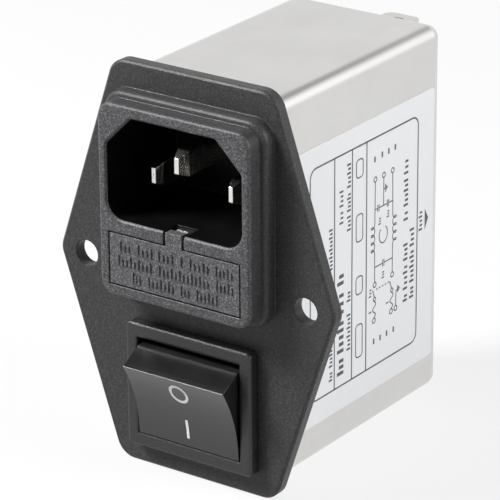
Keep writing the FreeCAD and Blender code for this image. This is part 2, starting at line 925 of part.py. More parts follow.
def terminal_block_slab(grow, y0, y1):
    """Rounded slab of the rear terminal block."""
    return rounded_slab(
        terminal_block_half_width + grow,
        terminal_block_z - terminal_block_half_height - grow,
        terminal_block_z + terminal_block_half_height + grow,
        terminal_block_corner_r + grow,
        y0,
        y1,
    )


def rear_terminal_block():
    """Insulator in the can's rear window, with a lip outside."""
    lip = terminal_block_slab(terminal_block_lip, can_depth, can_depth + terminal_block_lip_thickness)
    body = terminal_block_slab(0, can_inner_rear_y - terminal_block_inside, can_depth)
    slots = [
        pin_bar(
            0,
            line_tab_z(side),
            tab_width,
            tab_sheet,
            can_inner_rear_y - terminal_block_inside - CUT_OVERRUN,
            can_depth + terminal_block_lip_thickness + CUT_OVERRUN,
        )
        for side in SIDES.values()
    ]
    return lip.fuse(body).cut(slots).removeSplitter()


def line_tab_z(side):
    """Height of the live or neutral tab, the live one above."""
    return terminal_block_z - side * terminal_pitch / 2


def tab_blade(z, root_y):
    """Flat push-on blade with rounded corners and a latch hole near its tip."""
    tip_y = can_depth + tab_reach
    half = tab_width / 2
    bottom = z - tab_sheet / 2
    points = [
        V(-half, root_y, bottom),
        V(half, root_y, bottom),
        V(half, tip_y, bottom),
        V(-half, tip_y, bottom),
    ]
    blade = Part.Face(rounded_wire(points, [0, 0, tab_corner_r, tab_corner_r])).extrude(Z_AXIS * tab_sheet)
    hole = Part.makeCylinder(tab_hole_r, tab_sheet, V(0, tip_y - tab_hole_from_tip, bottom), Z_AXIS)
    return blade.cut(hole)


def line_tab(side):
    """Live or neutral tab: a blade through the terminal block with a tail in the board."""
    root_y = can_inner_rear_y - terminal_block_inside
    blade = tab_blade(line_tab_z(side), root_y)
    tail = pin_bar(0, line_tab_z(side), tab_tail_width, tab_sheet, board_y, root_y)
    return blade.fuse(tail).removeSplitter()


def earth_tab():
    """Earth tab: a blade with a leg welded to the back of the can."""
    blade = tab_blade(earth_tab_z, can_depth)
    top = earth_tab_z + tab_sheet / 2
    leg = block(
        -tab_width / 2,
        tab_width / 2,
        can_depth,
        can_depth + tab_sheet,
        top - earth_tab_leg,
        top,
    )
    return blade.fuse(leg).removeSplitter()


def rating_label():
    """Thin label on the right side of the can."""
    points = [
        V(can_half_width, label_front_margin, label_bottom),
        V(can_half_width, label_rear, label_bottom),
        V(can_half_width, label_rear, label_top),
        V(can_half_width, label_front_margin, label_top),
    ]
    return Part.Face(rounded_wire(points, [label_corner_r] * 4)).extrude(X_AXIS * label_thickness)


def filter_board():
    """Circuit board across the can, with slots for the tails of the line tabs."""
    board = block(
        -board_half_width,
        board_half_width,
        board_y,
        board_y + board_thickness,
        -board_half_height,
        board_half_height,
    )
    slots = [
        pin_bar(
            0,
            line_tab_z(side),
            tab_tail_width + 2 * board_slot_gap,
            tab_sheet + 2 * board_slot_gap,
            board_y,
            board_y + board_thickness,
        )
        for side in SIDES.values()
    ]
    return board.cut(slots)


def leg_bar(side, half, z0, z1):
    """Square bar along one leg of the choke's core, its ends given from the middle of the core."""
    x = side * choke_leg_x
    return block(x - half, x + half, choke_y - half, choke_y + half, choke_z + z0, choke_z + z1)


def choke_core_half(way):
    """U-shaped half of the choke's core; its legs meet the other half inside the bobbin."""
    ends = sorted((0, way * choke_half_height))
    yoke = sorted((way * (choke_half_height - choke_limb), way * choke_half_height))
    half = choke_limb / 2
    legs = [leg_bar(side, half, *ends) for side in SIDES.values()]
    bridge = block(
        -choke_leg_x,
        choke_leg_x,
        choke_y - half,
        choke_y + half,
        choke_z + yoke[0],
        choke_z + yoke[1],
    )
    return bridge.fuse(legs).removeSplitter()


def choke_bobbin():
    """Two flanged spools round the legs of the core, on a base frame that stands on the board."""
    frame_half = choke_leg_x + spool_flange_half
    opening_half = choke_leg_x - spool_flange_half
    flange_start = spool_half_length - bobbin_flange
    base_y = board_y - bobbin_base
    low = choke_z - spool_half_length
    high = choke_z + spool_half_length
    base = block(-frame_half, frame_half, base_y, board_y, low, high)
    opening = block(
        -opening_half, opening_half, base_y, board_y, low + bobbin_flange, high - bobbin_flange
    )
    spools = []
    bores = [opening]
    for side in SIDES.values():
        spools.append(leg_bar(side, spool_half, -spool_half_length, spool_half_length))
        spools.append(leg_bar(side, spool_flange_half, flange_start, spool_half_length))
        spools.append(leg_bar(side, spool_flange_half, -spool_half_length, -flange_start))
        bores.append(leg_bar(side, choke_limb / 2 + choke_fit, -spool_half_length, spool_half_length))
    return base.fuse(spools).cut(bores).removeSplitter()


def choke_winding(side):
    """Winding between the flanges of one spool, with rounded outer corners."""
    reach = spool_half_length - bobbin_flange - winding_fit
    outer = leg_bar(side, spool_flange_half - winding_drop, -reach, reach)
    corners = [edge for edge in outer.Edges if edge.BoundBox.ZLength > reach]
    hollow = leg_bar(side, spool_half + winding_fit, -reach, reach)
    return outer.makeFillet(winding_corner_r, corners).cut(hollow)


def x_capacitor():
    """Moulded box capacitor that stands on the board."""
    box = block(
        -x_cap_width / 2,
        x_cap_width / 2,
        x_cap_front_y,
        board_y,
        x_cap_bottom,
        x_cap_bottom + x_cap_height,
    )
    return box.makeFillet(x_cap_edge_r, edges_at(box, x_cap_front_y))


def component_leads(x, z, from_y, pitch):
    """Pair of straight wires from a component back to the board."""
    pair = []
    for way in SIDES.values():
        wire_x = x + way * pitch / 2
        pair.append(wire_run([V(wire_x, from_y, z), V(wire_x, board_y, z)], component_lead_r))
    return pair


def y_capacitor(side):
    """Disc capacitor on two wires."""
    x = side * y_cap_pitch / 2
    centre_y = board_y - y_cap_board_gap - y_cap_r
    foot = V(x, centre_y, y_cap_z - y_cap_thickness / 2)
    disc = Part.makeCylinder(y_cap_r, y_cap_thickness, foot, Z_AXIS)
    return disc.fuse(component_leads(x, y_cap_z, centre_y, component_lead_pitch)).removeSplitter()


def bleed_resistor():
    """Small resistor across the lines, on bent wires."""
    y = board_y - resistor_stand
    body = Part.makeCylinder(resistor_r, resistor_length, V(-resistor_length / 2, y, resistor_z), X_AXIS)
    wire_path = [
        V(-resistor_lead_half, board_y, resistor_z),
        V(-resistor_lead_half, y, resistor_z),
        V(resistor_lead_half, y, resistor_z),
        V(resistor_lead_half, board_y, resistor_z),
    ]
    return body.fuse(lead(wire_path, component_lead_r, lead_r)).removeSplitter()


def earth_strap():
    """Strip from the tail of the earth pin to the inside of the can's top."""
    middle_y = pin_tail_y + strap_thickness / 2
    top_z = can_inner_half_height - strap_thickness / 2
    path = [
        (middle_y, earth_pin_z - strap_foot),
        (middle_y, top_z),
        (middle_y + strap_run, top_z),
    ]
    return side_strip(path, strap_thickness, -strap_half_width, strap_half_width)


def contact_tail_point(side, place):
    """Point on the inner face of a contact's tail where its lead is soldered."""
    bottom, top = contact_levels(place)
    return V(side * (bay_half_width - contact_thickness), lead_y, (bottom + top) / 2)


def inlet_lead(side):
    """Lead from a line pin to the front contact of its fuse."""
    x = side * line_pin_pitch / 2
    end = contact_tail_point(side, "front")
    points = [V(x, pin_tail_y, line_pin_z), V(x, lead_y, line_pin_z), V(x, lead_y, end.z), end]
    return lead(points, lead_r, lead_bend_r)


def fuse_lead(side):
    """Lead from the rear contact of a fuse to the switch."""
    start = contact_tail_point(side, "rear")
    x = side * fuse_lead_x
    _, z = end_contact_place()
    points = [
        start,
        V(x, lead_y, start.z),
        V(x, lead_y, z),
        V(side * pole_x, lead_y, z),
        V(side * pole_x, terminal_tip_y, z),
    ]
    return lead(points, lead_r, lead_bend_r)


def filter_lead(side):
    """Lead from the switch to the filter board."""
    x = side * pole_x
    turn_y = terminal_tip_y + filter_lead_run
    low = switch_z - filter_lead_drop
    points = [V(x, terminal_tip_y, switch_z), V(x, turn_y, switch_z), V(x, turn_y, low), V(x, board_y, low)]
    return lead(points, lead_r, lead_bend_r)


def build_nodes():
    """Every piece of the module, by name."""
    nodes = {
        "front_housing": front_housing(),
        "fuse_drawer": fuse_drawer(),
        "switch_body": switch_body(),
        "rocker": rocker(),
        "shield_can": shield_can(),
        "rating_label": rating_label(),
        "rear_terminal_block": rear_terminal_block(),
        "earth_tab": earth_tab(),
        "earth_strap": earth_strap(),
        "filter_board": filter_board(),
        "choke_core_upper": choke_core_half(1),
        "choke_core_lower": choke_core_half(-1),
        "choke_bobbin": choke_bobbin(),
        "x_capacitor": x_capacitor(),
        "bleed_resistor": bleed_resistor(),
    }
    for name, place in pin_places().items():
        nodes[name + "_pin"] = inlet_pin(*place)
    for name, side in SIDES.items():
        x = side * fuse_x
        nodes[name + "_fuse_glass"] = fuse_tube(x)
        nodes[name + "_fuse_front_cap"] = fuse_cap(x, fuse_front_y, 1)
        nodes[name + "_fuse_rear_cap"] = fuse_cap(x, fuse_rear_y, -1)
        nodes[name + "_fuse_element"] = fuse_element(x)
        for place in ("front", "rear"):
            nodes[name + "_fuse_contact_" + place] = fuse_contact(side, place)
        nodes[name + "_plunger"] = plunger(side)
        nodes[name + "_plunger_spring"] = plunger_spring(side)
        nodes[name + "_contact_bar"] = contact_bar(side)
        nodes[name + "_common_terminal"] = common_terminal(side)
        nodes[name + "_switched_terminal"] = switched_terminal(side)
        nodes[name + "_tab"] = line_tab(side)
        nodes["choke_winding_" + name] = choke_winding(side)
        nodes["y_capacitor_" + name] = y_capacitor(side)
        nodes[name + "_inlet_lead"] = inlet_lead(side)
        nodes[name + "_fuse_lead"] = fuse_lead(side)
        nodes[name + "_filter_lead"] = filter_lead(side)
    return nodes


os.makedirs("parts", exist_ok=True)
for node_name, node_shape in build_nodes().items():
    node_shape.exportStep("parts/" + node_name + ".step")
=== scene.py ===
import json
import math

import bmesh
import bpy
from bpy.props import FloatProperty, FloatVectorProperty, PointerProperty
from bpy.types import Operator, Panel, PropertyGroup
from mathutils import Matrix, Vector
from mathutils.bvhtree import BVHTree


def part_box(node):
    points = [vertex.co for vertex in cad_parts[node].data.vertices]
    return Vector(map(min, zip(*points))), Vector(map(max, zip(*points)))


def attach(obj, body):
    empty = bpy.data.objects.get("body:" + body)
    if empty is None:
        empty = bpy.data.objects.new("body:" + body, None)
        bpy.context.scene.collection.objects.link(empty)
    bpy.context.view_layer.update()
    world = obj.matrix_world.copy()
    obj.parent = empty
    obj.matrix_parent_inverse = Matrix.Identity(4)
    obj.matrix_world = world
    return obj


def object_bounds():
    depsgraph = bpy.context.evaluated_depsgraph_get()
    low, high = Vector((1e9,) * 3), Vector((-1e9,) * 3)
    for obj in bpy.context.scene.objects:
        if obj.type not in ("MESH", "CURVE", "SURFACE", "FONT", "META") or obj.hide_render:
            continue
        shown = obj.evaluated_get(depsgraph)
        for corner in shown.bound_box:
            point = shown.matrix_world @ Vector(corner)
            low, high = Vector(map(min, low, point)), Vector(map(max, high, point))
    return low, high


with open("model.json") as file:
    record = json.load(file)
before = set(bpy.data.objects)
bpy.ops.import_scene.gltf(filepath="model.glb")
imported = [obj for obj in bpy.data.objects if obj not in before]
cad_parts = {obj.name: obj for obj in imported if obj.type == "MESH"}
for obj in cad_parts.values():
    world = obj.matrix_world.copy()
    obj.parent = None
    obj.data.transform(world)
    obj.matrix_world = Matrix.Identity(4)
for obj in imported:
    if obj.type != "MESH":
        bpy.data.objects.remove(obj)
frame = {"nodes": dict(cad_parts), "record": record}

bl_info = {
    "name": "Filtered Power Entry Module",
    "version": (1, 0, 0),
    "blender": (4, 5, 0),
    "location": "3D View > Sidebar > Power Entry",
    "description": "Finishes, label print, switch marks and studio for a panel inlet with drawer and filter",
    "category": "Object",
}

MM = 0.001
CAD_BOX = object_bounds()
NODES = frame["nodes"]
SLOT_OF = {part["node"]: part["material_slot"] for part in frame["record"]["subparts"]}
LABEL_FACE_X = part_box("rating_label")[1].x
DRAWER_FACE_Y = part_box("fuse_drawer")[0].y
DRAWER_TOP_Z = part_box("fuse_drawer")[1].z
PIN_TIP_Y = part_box("live_pin")[0].y
FLOOR_Z = CAD_BOX[0].z

# Boxes whose finish differs from the rest of their piece, by middle and half size: painted shade in the inlet
# and the fuse bay, a sill with rougher edges under the rocker, and a painted highlight on the drawer's latch
# ramp
INLET_SHADE_MIDDLE = (0.0, 0.0020, 0.017225)
INLET_SHADE_HALF = (0.0124, 0.0086, 0.0084)
BAY_SHADE_MIDDLE = (0.0, 0.0065, 0.00285)
BAY_SHADE_HALF = (0.0121, 0.01342, 0.0044)
SILL_MIDDLE = (0.0, -0.0039, -0.02633)
SILL_HALF = (0.0098, 0.0008, 0.0005)
RAMP_HIGHLIGHT_SETBACK = 0.00195
RAMP_HIGHLIGHT_HALF = (0.0012, 0.0006, 0.0004)
RAMP_HIGHLIGHT_MIDDLE = (0.0, DRAWER_FACE_Y + RAMP_HIGHLIGHT_SETBACK, DRAWER_TOP_Z - RAMP_HIGHLIGHT_HALF[2])

# Where the finish of the foremost faces and of the pins' tips starts to fade, and where it ends
FACE_FADE = {"Start": DRAWER_FACE_Y + 0.0002, "End": DRAWER_FACE_Y + 0.0006}
TIP_FADE = {"Start": PIN_TIP_Y + 0.0014, "End": PIN_TIP_Y + 0.0018}


# Sizes and colours that a user would change


def tint(piece, what, default):
    """Setting that holds the colour of a piece."""
    return FloatVectorProperty(
        name=f"{piece} colour", description=f"Colour of {what}", default=default, size=3, min=0, max=1,
        subtype="COLOR",
    )


def number(name, description, default, **kind):
    """Setting that holds a number of some kind."""
    return FloatProperty(name=name, description=description, default=default, **kind)


def length(name, description, default):
    """Setting that holds a length."""
    return number(name, description, default, min=0, precision=6, unit="LENGTH")


class PlasticSettings(PropertyGroup):
    housing_colour: tint("Housing", "the flange and the inlet", (0.0385, 0.0385, 0.0395))
    drawer_colour: tint(
        "Drawer and collar", "the coarser faces of the fuse drawer and the collar", (0.075, 0.075, 0.079),
    )
    # Dark colour of the inlet's inner walls and of the fuse bay: painted shade in these recesses
    inlet_colour: tint("Inlet", "the smooth walls inside the inlet", (0.0035, 0.0035, 0.0037))
    # Pale colour of the latch ramp: a painted highlight
    ramp_colour: tint("Latch ramp", "the ramp behind the drawer's finger tab", (0.27, 0.27, 0.28))
    switch_colour: tint("Bezel", "the switch bezel and body", (0.014, 0.014, 0.0145))
    rocker_colour: tint("Rocker", "the rocker", (0.007, 0.007, 0.0073))
    block_colour: tint("Terminal block", "the rear terminal block", (0.014, 0.014, 0.015))
    grain_size: length("Grain size", "Width of one grain of the moulded texture", 0.00026)
    grain_depth: length("Grain depth", "Depth of the moulded texture", 0.00006)
    edge_radius: length("Edge softness", "Radius over which moulded edges are shaded round", 0.00035)


class MetalSettings(PropertyGroup):
    steel_colour: tint("Can", "the tinned steel can", (0.675, 0.669, 0.654))
    tab_colour: tint("Tab", "the tinned terminal tabs", (0.66, 0.65, 0.62))
    pin_colour: tint("Pin", "the plated inlet pins and fuse caps", (0.74, 0.73, 0.70))
    brass_colour: tint("Brass", "the contact springs and switch terminals", (0.66, 0.46, 0.19))
    copper_colour: tint("Copper", "the strap and the windings", (0.64, 0.30, 0.16))
    streak_width: length("Rolling line width", "Width of the fine rolling lines in the sheet", 0.00018)
    streak_length: length("Rolling line length", "Length of the fine rolling lines in the sheet", 0.012)
    mill_width: length("Milling line width", "Width of the milling lines on the inlet pins", 0.00040)
    mill_length: length("Milling line length", "Length of the milling lines on the inlet pins", 0.0025)
    mill_depth: length("Milling line depth", "Depth of the milling lines on the inlet pins", 0.00009)
    bend_radius: length("Bend softness", "Radius over which the can's bends are shaded round", 0.0006)


class FilterSettings(PropertyGroup):
    board_colour: tint("Board", "the lacquered circuit board", (0.035, 0.16, 0.055))
    ferrite_colour: tint("Ferrite", "the choke's core halves", (0.035, 0.034, 0.036))
    bobbin_colour: tint("Bobbin", "the choke's bobbin and the switch plungers", (0.72, 0.70, 0.64))
    box_colour: tint("Box capacitor", "the box capacitor", (0.62, 0.42, 0.04))
    disc_colour: tint("Disc capacitor", "the two disc capacitors", (0.025, 0.10, 0.36))
    resistor_colour: tint("Resistor", "the resistor's lacquer", (0.42, 0.27, 0.13))
    lead_colour: tint("Lead", "the insulated leads", (0.11, 0.035, 0.015))
    glass_colour: tint("Glass", "the fuse tubes", (0.93, 0.96, 0.95))


class LabelSettings(PropertyGroup):
    sheet_colour: tint("Label", "the label sheet", (0.80, 0.81, 0.83))
    ink_colour: tint("Ink", "the printed lines", (0.045, 0.045, 0.050))
    rule_width: length("Frame line width", "Width of the label's printed frame and dividers", 0.00027)
    wire_width: length("Circuit line width", "Width of the lines of the circuit drawing", 0.00020)
    ink_height: length("Ink height", "How far the ink stands on the sheet", 0.000012)


class MarkSettings(PropertyGroup):
    mark_colour: tint("Mark", "the switch's off ring and on bar", (0.88, 0.88, 0.89))
    ring_radius: length("Ring radius", "Radius of the off ring, to the middle of its line", 0.00146)
    bar_length: length("Bar length", "Length of the on bar", 0.0032)
    mark_width: length("Mark line width", "Width of the ring's and the bar's line", 0.00046)
    paint_height: length("Paint height", "How far the printed marks stand on the rocker", 0.00002)
    row_height: length("Raised stroke height", "Height of one raised stroke on the drawer front", 0.0017)
    row_relief: length("Raised stroke relief", "How far the raised strokes stand on the drawer", 0.00018)


class StageSettings(PropertyGroup):
    floor_colour: tint(
        "Floor", "the studio floor in the light that it throws back on the object", (0.38, 0.38, 0.38),
    )
    seen_floor_colour: tint(
        "Seen floor", "the studio floor where the camera or a reflection shows it", (0.70, 0.70, 0.70),
    )
    floor_glow: number(
        "Floor whiteness", "Share of plain white that the camera sees in the floor, beside its shaded colour",
        0.80, min=0, max=1, subtype="FACTOR",
    )
    room_level: number("Room light", "Strength of the even light from all round", 0.12, min=0)
    ceiling_level: number(
        "Ceiling light", "Share of the room's light that comes from overhead",
        0.15, min=0, max=1, subtype="FACTOR",
    )
    key_power: number("Key light", "Power of the soft light at the front left", 7.0, min=0, unit="POWER")
    side_power: number("Side light", "Power of the soft light at the right", 7.7, min=0, unit="POWER")
    rim_power: number("Rim light", "Power of the wide soft light behind the can", 0.9, min=0, unit="POWER")
    azimuth: number(
        "Camera azimuth", "Turn of the camera to the right of straight ahead",
        math.radians(35.511), subtype="ANGLE", unit="ROTATION",
    )
    elevation: number(
        "Camera elevation", "Height angle of the camera",
        math.radians(22.008), subtype="ANGLE", unit="ROTATION",
    )
    roll: number("Camera roll", "Lean of the camera", math.radians(-0.425), subtype="ANGLE", unit="ROTATION")
    distance: length("Camera distance", "Distance from the camera to the point it looks at", 0.522678)
    lens: number(
        "Lens", "Focal length on a 36 mm sensor", 244.43, min=10, max=1000, subtype="DISTANCE_CAMERA",
    )
    target: FloatVectorProperty(
        name="Camera target", description="Point that the camera looks at",
        default=(-0.005495, 0.020, -0.003579), size=3, subtype="TRANSLATION", unit="LENGTH",
    )


# Shader node groups that several finishes share

FLOAT = "NodeSocketFloat"
VECTOR = "NodeSocketVector"
COLOUR = "NodeSocketColor"
# What the groups put out
MASK = {"Mask": FLOAT}
TEXTURE = {"Colour": COLOUR, "Roughness": FLOAT, "Height": FLOAT}
# Sockets of the Mix node that carry colours
MIX_FIRST, MIX_SECOND, MIX_RESULT = 6, 7, 2
NOISE_MIDDLE = 0.5
# Moulded grain: cells to a grain, depth of its pits, noise levels of its tops that get a painted highlight,
# and what lightens it: that painted highlight, the cloudy tone and the lowest gain
CELL_RATE = 0.6
PIT_DEPTH = 0.35
HIGHLIT_GRAIN_TOPS = (0.56, 0.72)
TOP_HIGHLIGHT = 0.4
CLOUD_LIGHT = 0.25
DARKEST_GAIN = 0.05
# Cloudy stains to a metre, what the lines of a rolled sheet add to them, and their mean
PLASTIC_CLOUDS = 140.0
METAL_CLOUDS = 90.0
LINE_STAIN = 0.4
STAIN_MEAN = 0.7
# Handling marks
SPECKS_PER_PATCH = 16.0
WEAR_START = 0.35
# Worn edges: cosines of the turn at which an edge starts to show, and at which it shows in full
EDGE_TURN = (0.97, 0.82)
EDGE_SAMPLES = 8


class NodeLayout:
    """Empties a node tree, adds nodes to it and joins their sockets."""

    def __init__(self, tree):
        self.tree = tree
        tree.nodes.clear()

    def add(self, kind, inputs=(), **values):
        """New node with its plain properties set, and its inputs fed by name or number."""
        node = self.tree.nodes.new(kind)
        for name, value in values.items():
            setattr(node, name, value)
        for socket, value in dict(inputs).items():
            self.feed(node.inputs[socket], value)
        return node

    def feed(self, socket, value):
        """Sets a socket to a value, or joins it to another socket."""
        if isinstance(value, bpy.types.NodeSocket):
            self.tree.links.new(value, socket)
        else:
            socket.default_value = value

    def math(self, operation, first, second=0.0, clamp=False):
        node = self.add("ShaderNodeMath", {0: first, 1: second}, operation=operation, use_clamp=clamp)
        return node.outputs[0]

    def blend(self, factor, first, second, mode="MIX"):
        """Two colours mixed by a factor."""
        inputs = {"Factor": factor, MIX_FIRST: first, MIX_SECOND: second}
        return self.add("ShaderNodeMix", inputs, data_type="RGBA", blend_type=mode).outputs[MIX_RESULT]

    def spread(self, value, low, high, span=(0.0, 1.0), **kind):
        """A value taken from its span to the range from low to high, and held there."""
        inputs = {"Value": value, "From Min": span[0], "From Max": span[1], "To Min": low, "To Max": high}
        return self.add("ShaderNodeMapRange", inputs, clamp=True, **kind).outputs["Result"]

    def scaled(self, vector, factors):
        """A vector multiplied by another, or by the value of a socket."""
        return self.add("ShaderNodeVectorMath", {0: vector, 1: factors}, operation="MULTIPLY").outputs[0]

    def parts(self, vector):
        """The X, Y and Z of a vector."""
        return self.add("ShaderNodeSeparateXYZ", {0: vector}).outputs

    def vector(self, x, y, z):
        return self.add("ShaderNodeCombineXYZ", {"X": x, "Y": y, "Z": z}).outputs["Vector"]

    def noise(self, vector, scale=1.0, detail=2.0, roughness=0.5):
        inputs = {"Vector": vector, "Scale": scale, "Detail": detail, "Roughness": roughness}
        return self.add("ShaderNodeTexNoise", inputs).outputs["Fac"]

    def swing(self, noise, amount):
        """How far a noise lies from its middle, multiplied by an amount."""
        return self.math("MULTIPLY", self.math("SUBTRACT", noise, NOISE_MIDDLE), amount)

    def surface(self, output, factor, first, second):
        """Ends the tree in two shaders mixed by a factor."""
        mixed = self.add("ShaderNodeMixShader", {0: factor, 1: first.outputs[0], 2: second.outputs[0]})
        self.add(output, {"Surface": mixed.outputs[0]})


def start_group(name, inputs, outputs):
    """New shader node group with its named sockets, and the two ends of it."""
    tree = bpy.data.node_groups.new(name, "ShaderNodeTree")
    for in_out, sockets in (("INPUT", inputs), ("OUTPUT", outputs)):
        for socket, kind in sockets.items():
            tree.interface.new_socket(name=socket, in_out=in_out, socket_type=kind)
    layout = NodeLayout(tree)
    return layout, layout.add("NodeGroupInput").outputs, layout.add("NodeGroupOutput").inputs


def start_texture(name, *numbers):
    """New group from a place, a colour and some numbers to a colour, a roughness and a height."""
    numbers = dict.fromkeys((*numbers, "Roughness", "Gloss Spread"), FLOAT)
    return start_group(name, {"Place": VECTOR, "Colour": COLOUR, **numbers}, TEXTURE)


def end_texture(layout, given, out, gain, noise, height):
    """Feeds the ends of a texture: its colour times a gain, a gloss made uneven by a noise, and a height."""
    uneven = layout.swing(noise, given["Gloss Spread"])
    layout.feed(out["Colour"], layout.blend(1.0, given["Colour"], gain, "MULTIPLY"))
    layout.feed(out["Roughness"], layout.math("ADD", given["Roughness"], uneven, clamp=True))
    layout.feed(out["Height"], height)
    return layout.tree


def moulded_grain(name):
    """Moulded grain: its height, painted highlights on its tops, painted shade in its hollows and uneven
    gloss.
    """
    layout, given, out = start_texture(name, "Grain Size", "Fleck")
    fine = layout.scaled(given["Place"], layout.math("DIVIDE", 1.0, given["Grain Size"]))
    grains = layout.noise(fine, roughness=0.6)
    cells = layout.add("ShaderNodeTexVoronoi", {"Vector": fine, "Scale": CELL_RATE}, feature="F1")
    clouds = layout.noise(given["Place"], PLASTIC_CLOUDS, detail=3.0, roughness=0.55)
    pits = layout.math("MULTIPLY", cells.outputs["Distance"], PIT_DEPTH)
    # The colour follows the grain's height: painted highlight on its tops and painted shade in its hollows
    bright = layout.spread(grains, 0.0, 1.0, HIGHLIT_GRAIN_TOPS)
    tops = layout.math("MULTIPLY", bright, layout.math("MULTIPLY", given["Fleck"], TOP_HIGHLIGHT))
    light = layout.math("ADD", layout.swing(grains, given["Fleck"]), tops)
    gain = layout.math("ADD", layout.math("ADD", 1.0, light), layout.swing(clouds, CLOUD_LIGHT))
    gain = layout.math("MAXIMUM", gain, DARKEST_GAIN)
    return end_texture(layout, given, out, gain, clouds, layout.math("SUBTRACT", grains, pits))


def rolled_sheet(name):
    """Fine lines that rolling and drawing leave in sheet metal, with soft cloudy stains."""
    layout, given, out = start_texture(name, "Line Width", "Line Length", "Stain")
    across = layout.math("DIVIDE", 1.0, given["Line Width"])
    along = layout.math("DIVIDE", 1.0, given["Line Length"])
    lines = layout.noise(layout.scaled(given["Place"], layout.vector(across, along, across)))
    clouds = layout.noise(given["Place"], METAL_CLOUDS, detail=4.0, roughness=0.6)
    stains = layout.math("ADD", layout.math("MULTIPLY", lines, LINE_STAIN), clouds)
    drop = layout.math("MULTIPLY", stains, given["Stain"])
    level = layout.math("ADD", 1.0, layout.math("MULTIPLY", given["Stain"], STAIN_MEAN))
    mean = layout.math("DIVIDE", layout.math("ADD", lines, clouds), 2.0)
    return end_texture(layout, given, out, layout.math("SUBTRACT", level, drop), mean, lines)


def handling_marks(name):
    """Faint rubbed patches and dust that handling leaves on a surface, as a mask."""
    layout, given, out = start_group(name, {"Place": VECTOR, "Patch Size": FLOAT, "Amount": FLOAT}, MASK)
    wide = layout.scaled(given["Place"], layout.math("DIVIDE", 1.0, given["Patch Size"]))
    patches = layout.noise(wide, detail=4.0, roughness=0.6)
    specks = layout.noise(wide, SPECKS_PER_PATCH)
    worn = layout.math("SUBTRACT", layout.math("SMOOTH_MIN", patches, specks), WEAR_START)
    layout.feed(out["Mask"], layout.math("MULTIPLY", worn, given["Amount"], clamp=True))
    return layout.tree


def worn_edges(name):
    """Edges that handling rubs smooth, as a mask: 0 on flat faces, rising to 1 along edges."""
    layout, given, out = start_group(name, {"Radius": FLOAT}, MASK)
    soft = layout.add("ShaderNodeBevel", {"Radius": given["Radius"]}, samples=EDGE_SAMPLES).outputs["Normal"]
    flat = layout.add("ShaderNodeNewGeometry").outputs["True Normal"]
    turn = layout.add("ShaderNodeVectorMath", {0: soft, 1: flat}, operation="DOT_PRODUCT")
    layout.feed(out["Mask"], layout.spread(turn.outputs["Value"], 0.0, 1.0, EDGE_TURN))
    return layout.tree


def box_area(name):
    """Mask that is 1 inside an upright box of the given middle and half size, and 0 outside."""
    inputs = dict.fromkeys(("Place", "Middle", "Half Size"), VECTOR)
    layout, given, out = start_group(name, inputs, MASK)
    mask = 1.0
    for values in zip(*(layout.parts(given[socket]) for socket in inputs)):
        near = layout.add("ShaderNodeMath", enumerate(values), operation="COMPARE")
        mask = layout.math("MULTIPLY", near.outputs[0], mask)
    layout.feed(out["Mask"], mask)
    return layout.tree


def front_fade(name):
    """Mask that is 1 in front of its start in y, and falls to 0 at its end behind that."""
    layout, given, out = start_group(name, {"Place": VECTOR, "Start": FLOAT, "End": FLOAT}, MASK)
    depth = layout.parts(given["Place"])["Y"]
    layout.feed(out["Mask"], layout.spread(depth, 0.0, 1.0, (given["End"], given["Start"])))
    return layout.tree


def uneven_print(name):
    """Print with specks of another tone and an uneven gloss."""
    numbers = dict.fromkeys(("Scale", "Speck Share", "Low Roughness", "High Roughness"), FLOAT)
    inputs = {"Place": VECTOR, "Colour": COLOUR, "Speck Colour": COLOUR, **numbers}
    layout, given, out = start_group(name, inputs, TEXTURE)
    specks = layout.noise(given["Place"], given["Scale"], roughness=0.6)
    shown = layout.spread(specks, 0.0, given["Speck Share"])
    layout.feed(out["Colour"], layout.blend(shown, given["Colour"], given["Speck Colour"]))
    layout.feed(out["Roughness"], layout.spread(specks, given["Low Roughness"], given["High Roughness"]))
    layout.feed(out["Height"], specks)
    return layout.tree


# Finishes

BEVEL_SAMPLES = 12
# How much lighter dust is than the plastic: a factor and a lift
DUST = (1.6, 0.004)
TIP_ROUGHNESS = 0.24
GLASS_LINES = (900.0, 40.0, 900.0)
# Grain size, grain depth and edge softness of the mouldings, as shares of the settings
PLAIN_MOULDING = (1.0, 1.0, 1.0)
DRAWER_MOULDING = (1.0, 1.0, 0.4)
BEZEL_MOULDING = (1.0, 1.0, 2.2)
ROCKER_MOULDING = (0.8, 0.16, 0.35)
PIN_EDGE = 0.0003
CONTACT_EDGE = 0.0001
SPRING_COLOUR = (0.48, 0.48, 0.48)
FILTER_PLASTICS = (
    # slot, name, colour setting, then grain size, grain depth and edge radius, then roughness and the
    # strength of the painted highlight and shade on the grain
    ("board_laminate", "Board laminate", "board_colour", (0.0006, 0.00001, 0.0), 0.35, 0.4),
    ("ferrite", "Sintered ferrite", "ferrite_colour", (0.0003, 0.00003, 0.0002), 0.6, 1.0),
    ("bobbin_plastic", "Bobbin plastic", "bobbin_colour", (0.0004, 0.00001, 0.0001), 0.45, 0.1),
    ("plunger_plastic", "Plunger plastic", "bobbin_colour", (0.0004, 0.00001, 0.0001), 0.4, 0.1),
    ("capacitor_box", "Capacitor box", "box_colour", (0.0004, 0.00001, 0.0002), 0.35, 0.15),
    ("capacitor_disc", "Dipped capacitor", "disc_colour", (0.0012, 0.00003, 0.0004), 0.3, 0.2),
    ("resistor_coat", "Resistor lacquer", "resistor_colour", (0.0008, 0.00002, 0.0003), 0.35, 0.3),
    ("lead_insulation", "Lead insulation", "lead_colour", (0.0006, 0.00001, 0.0004), 0.42, 0.15),
)


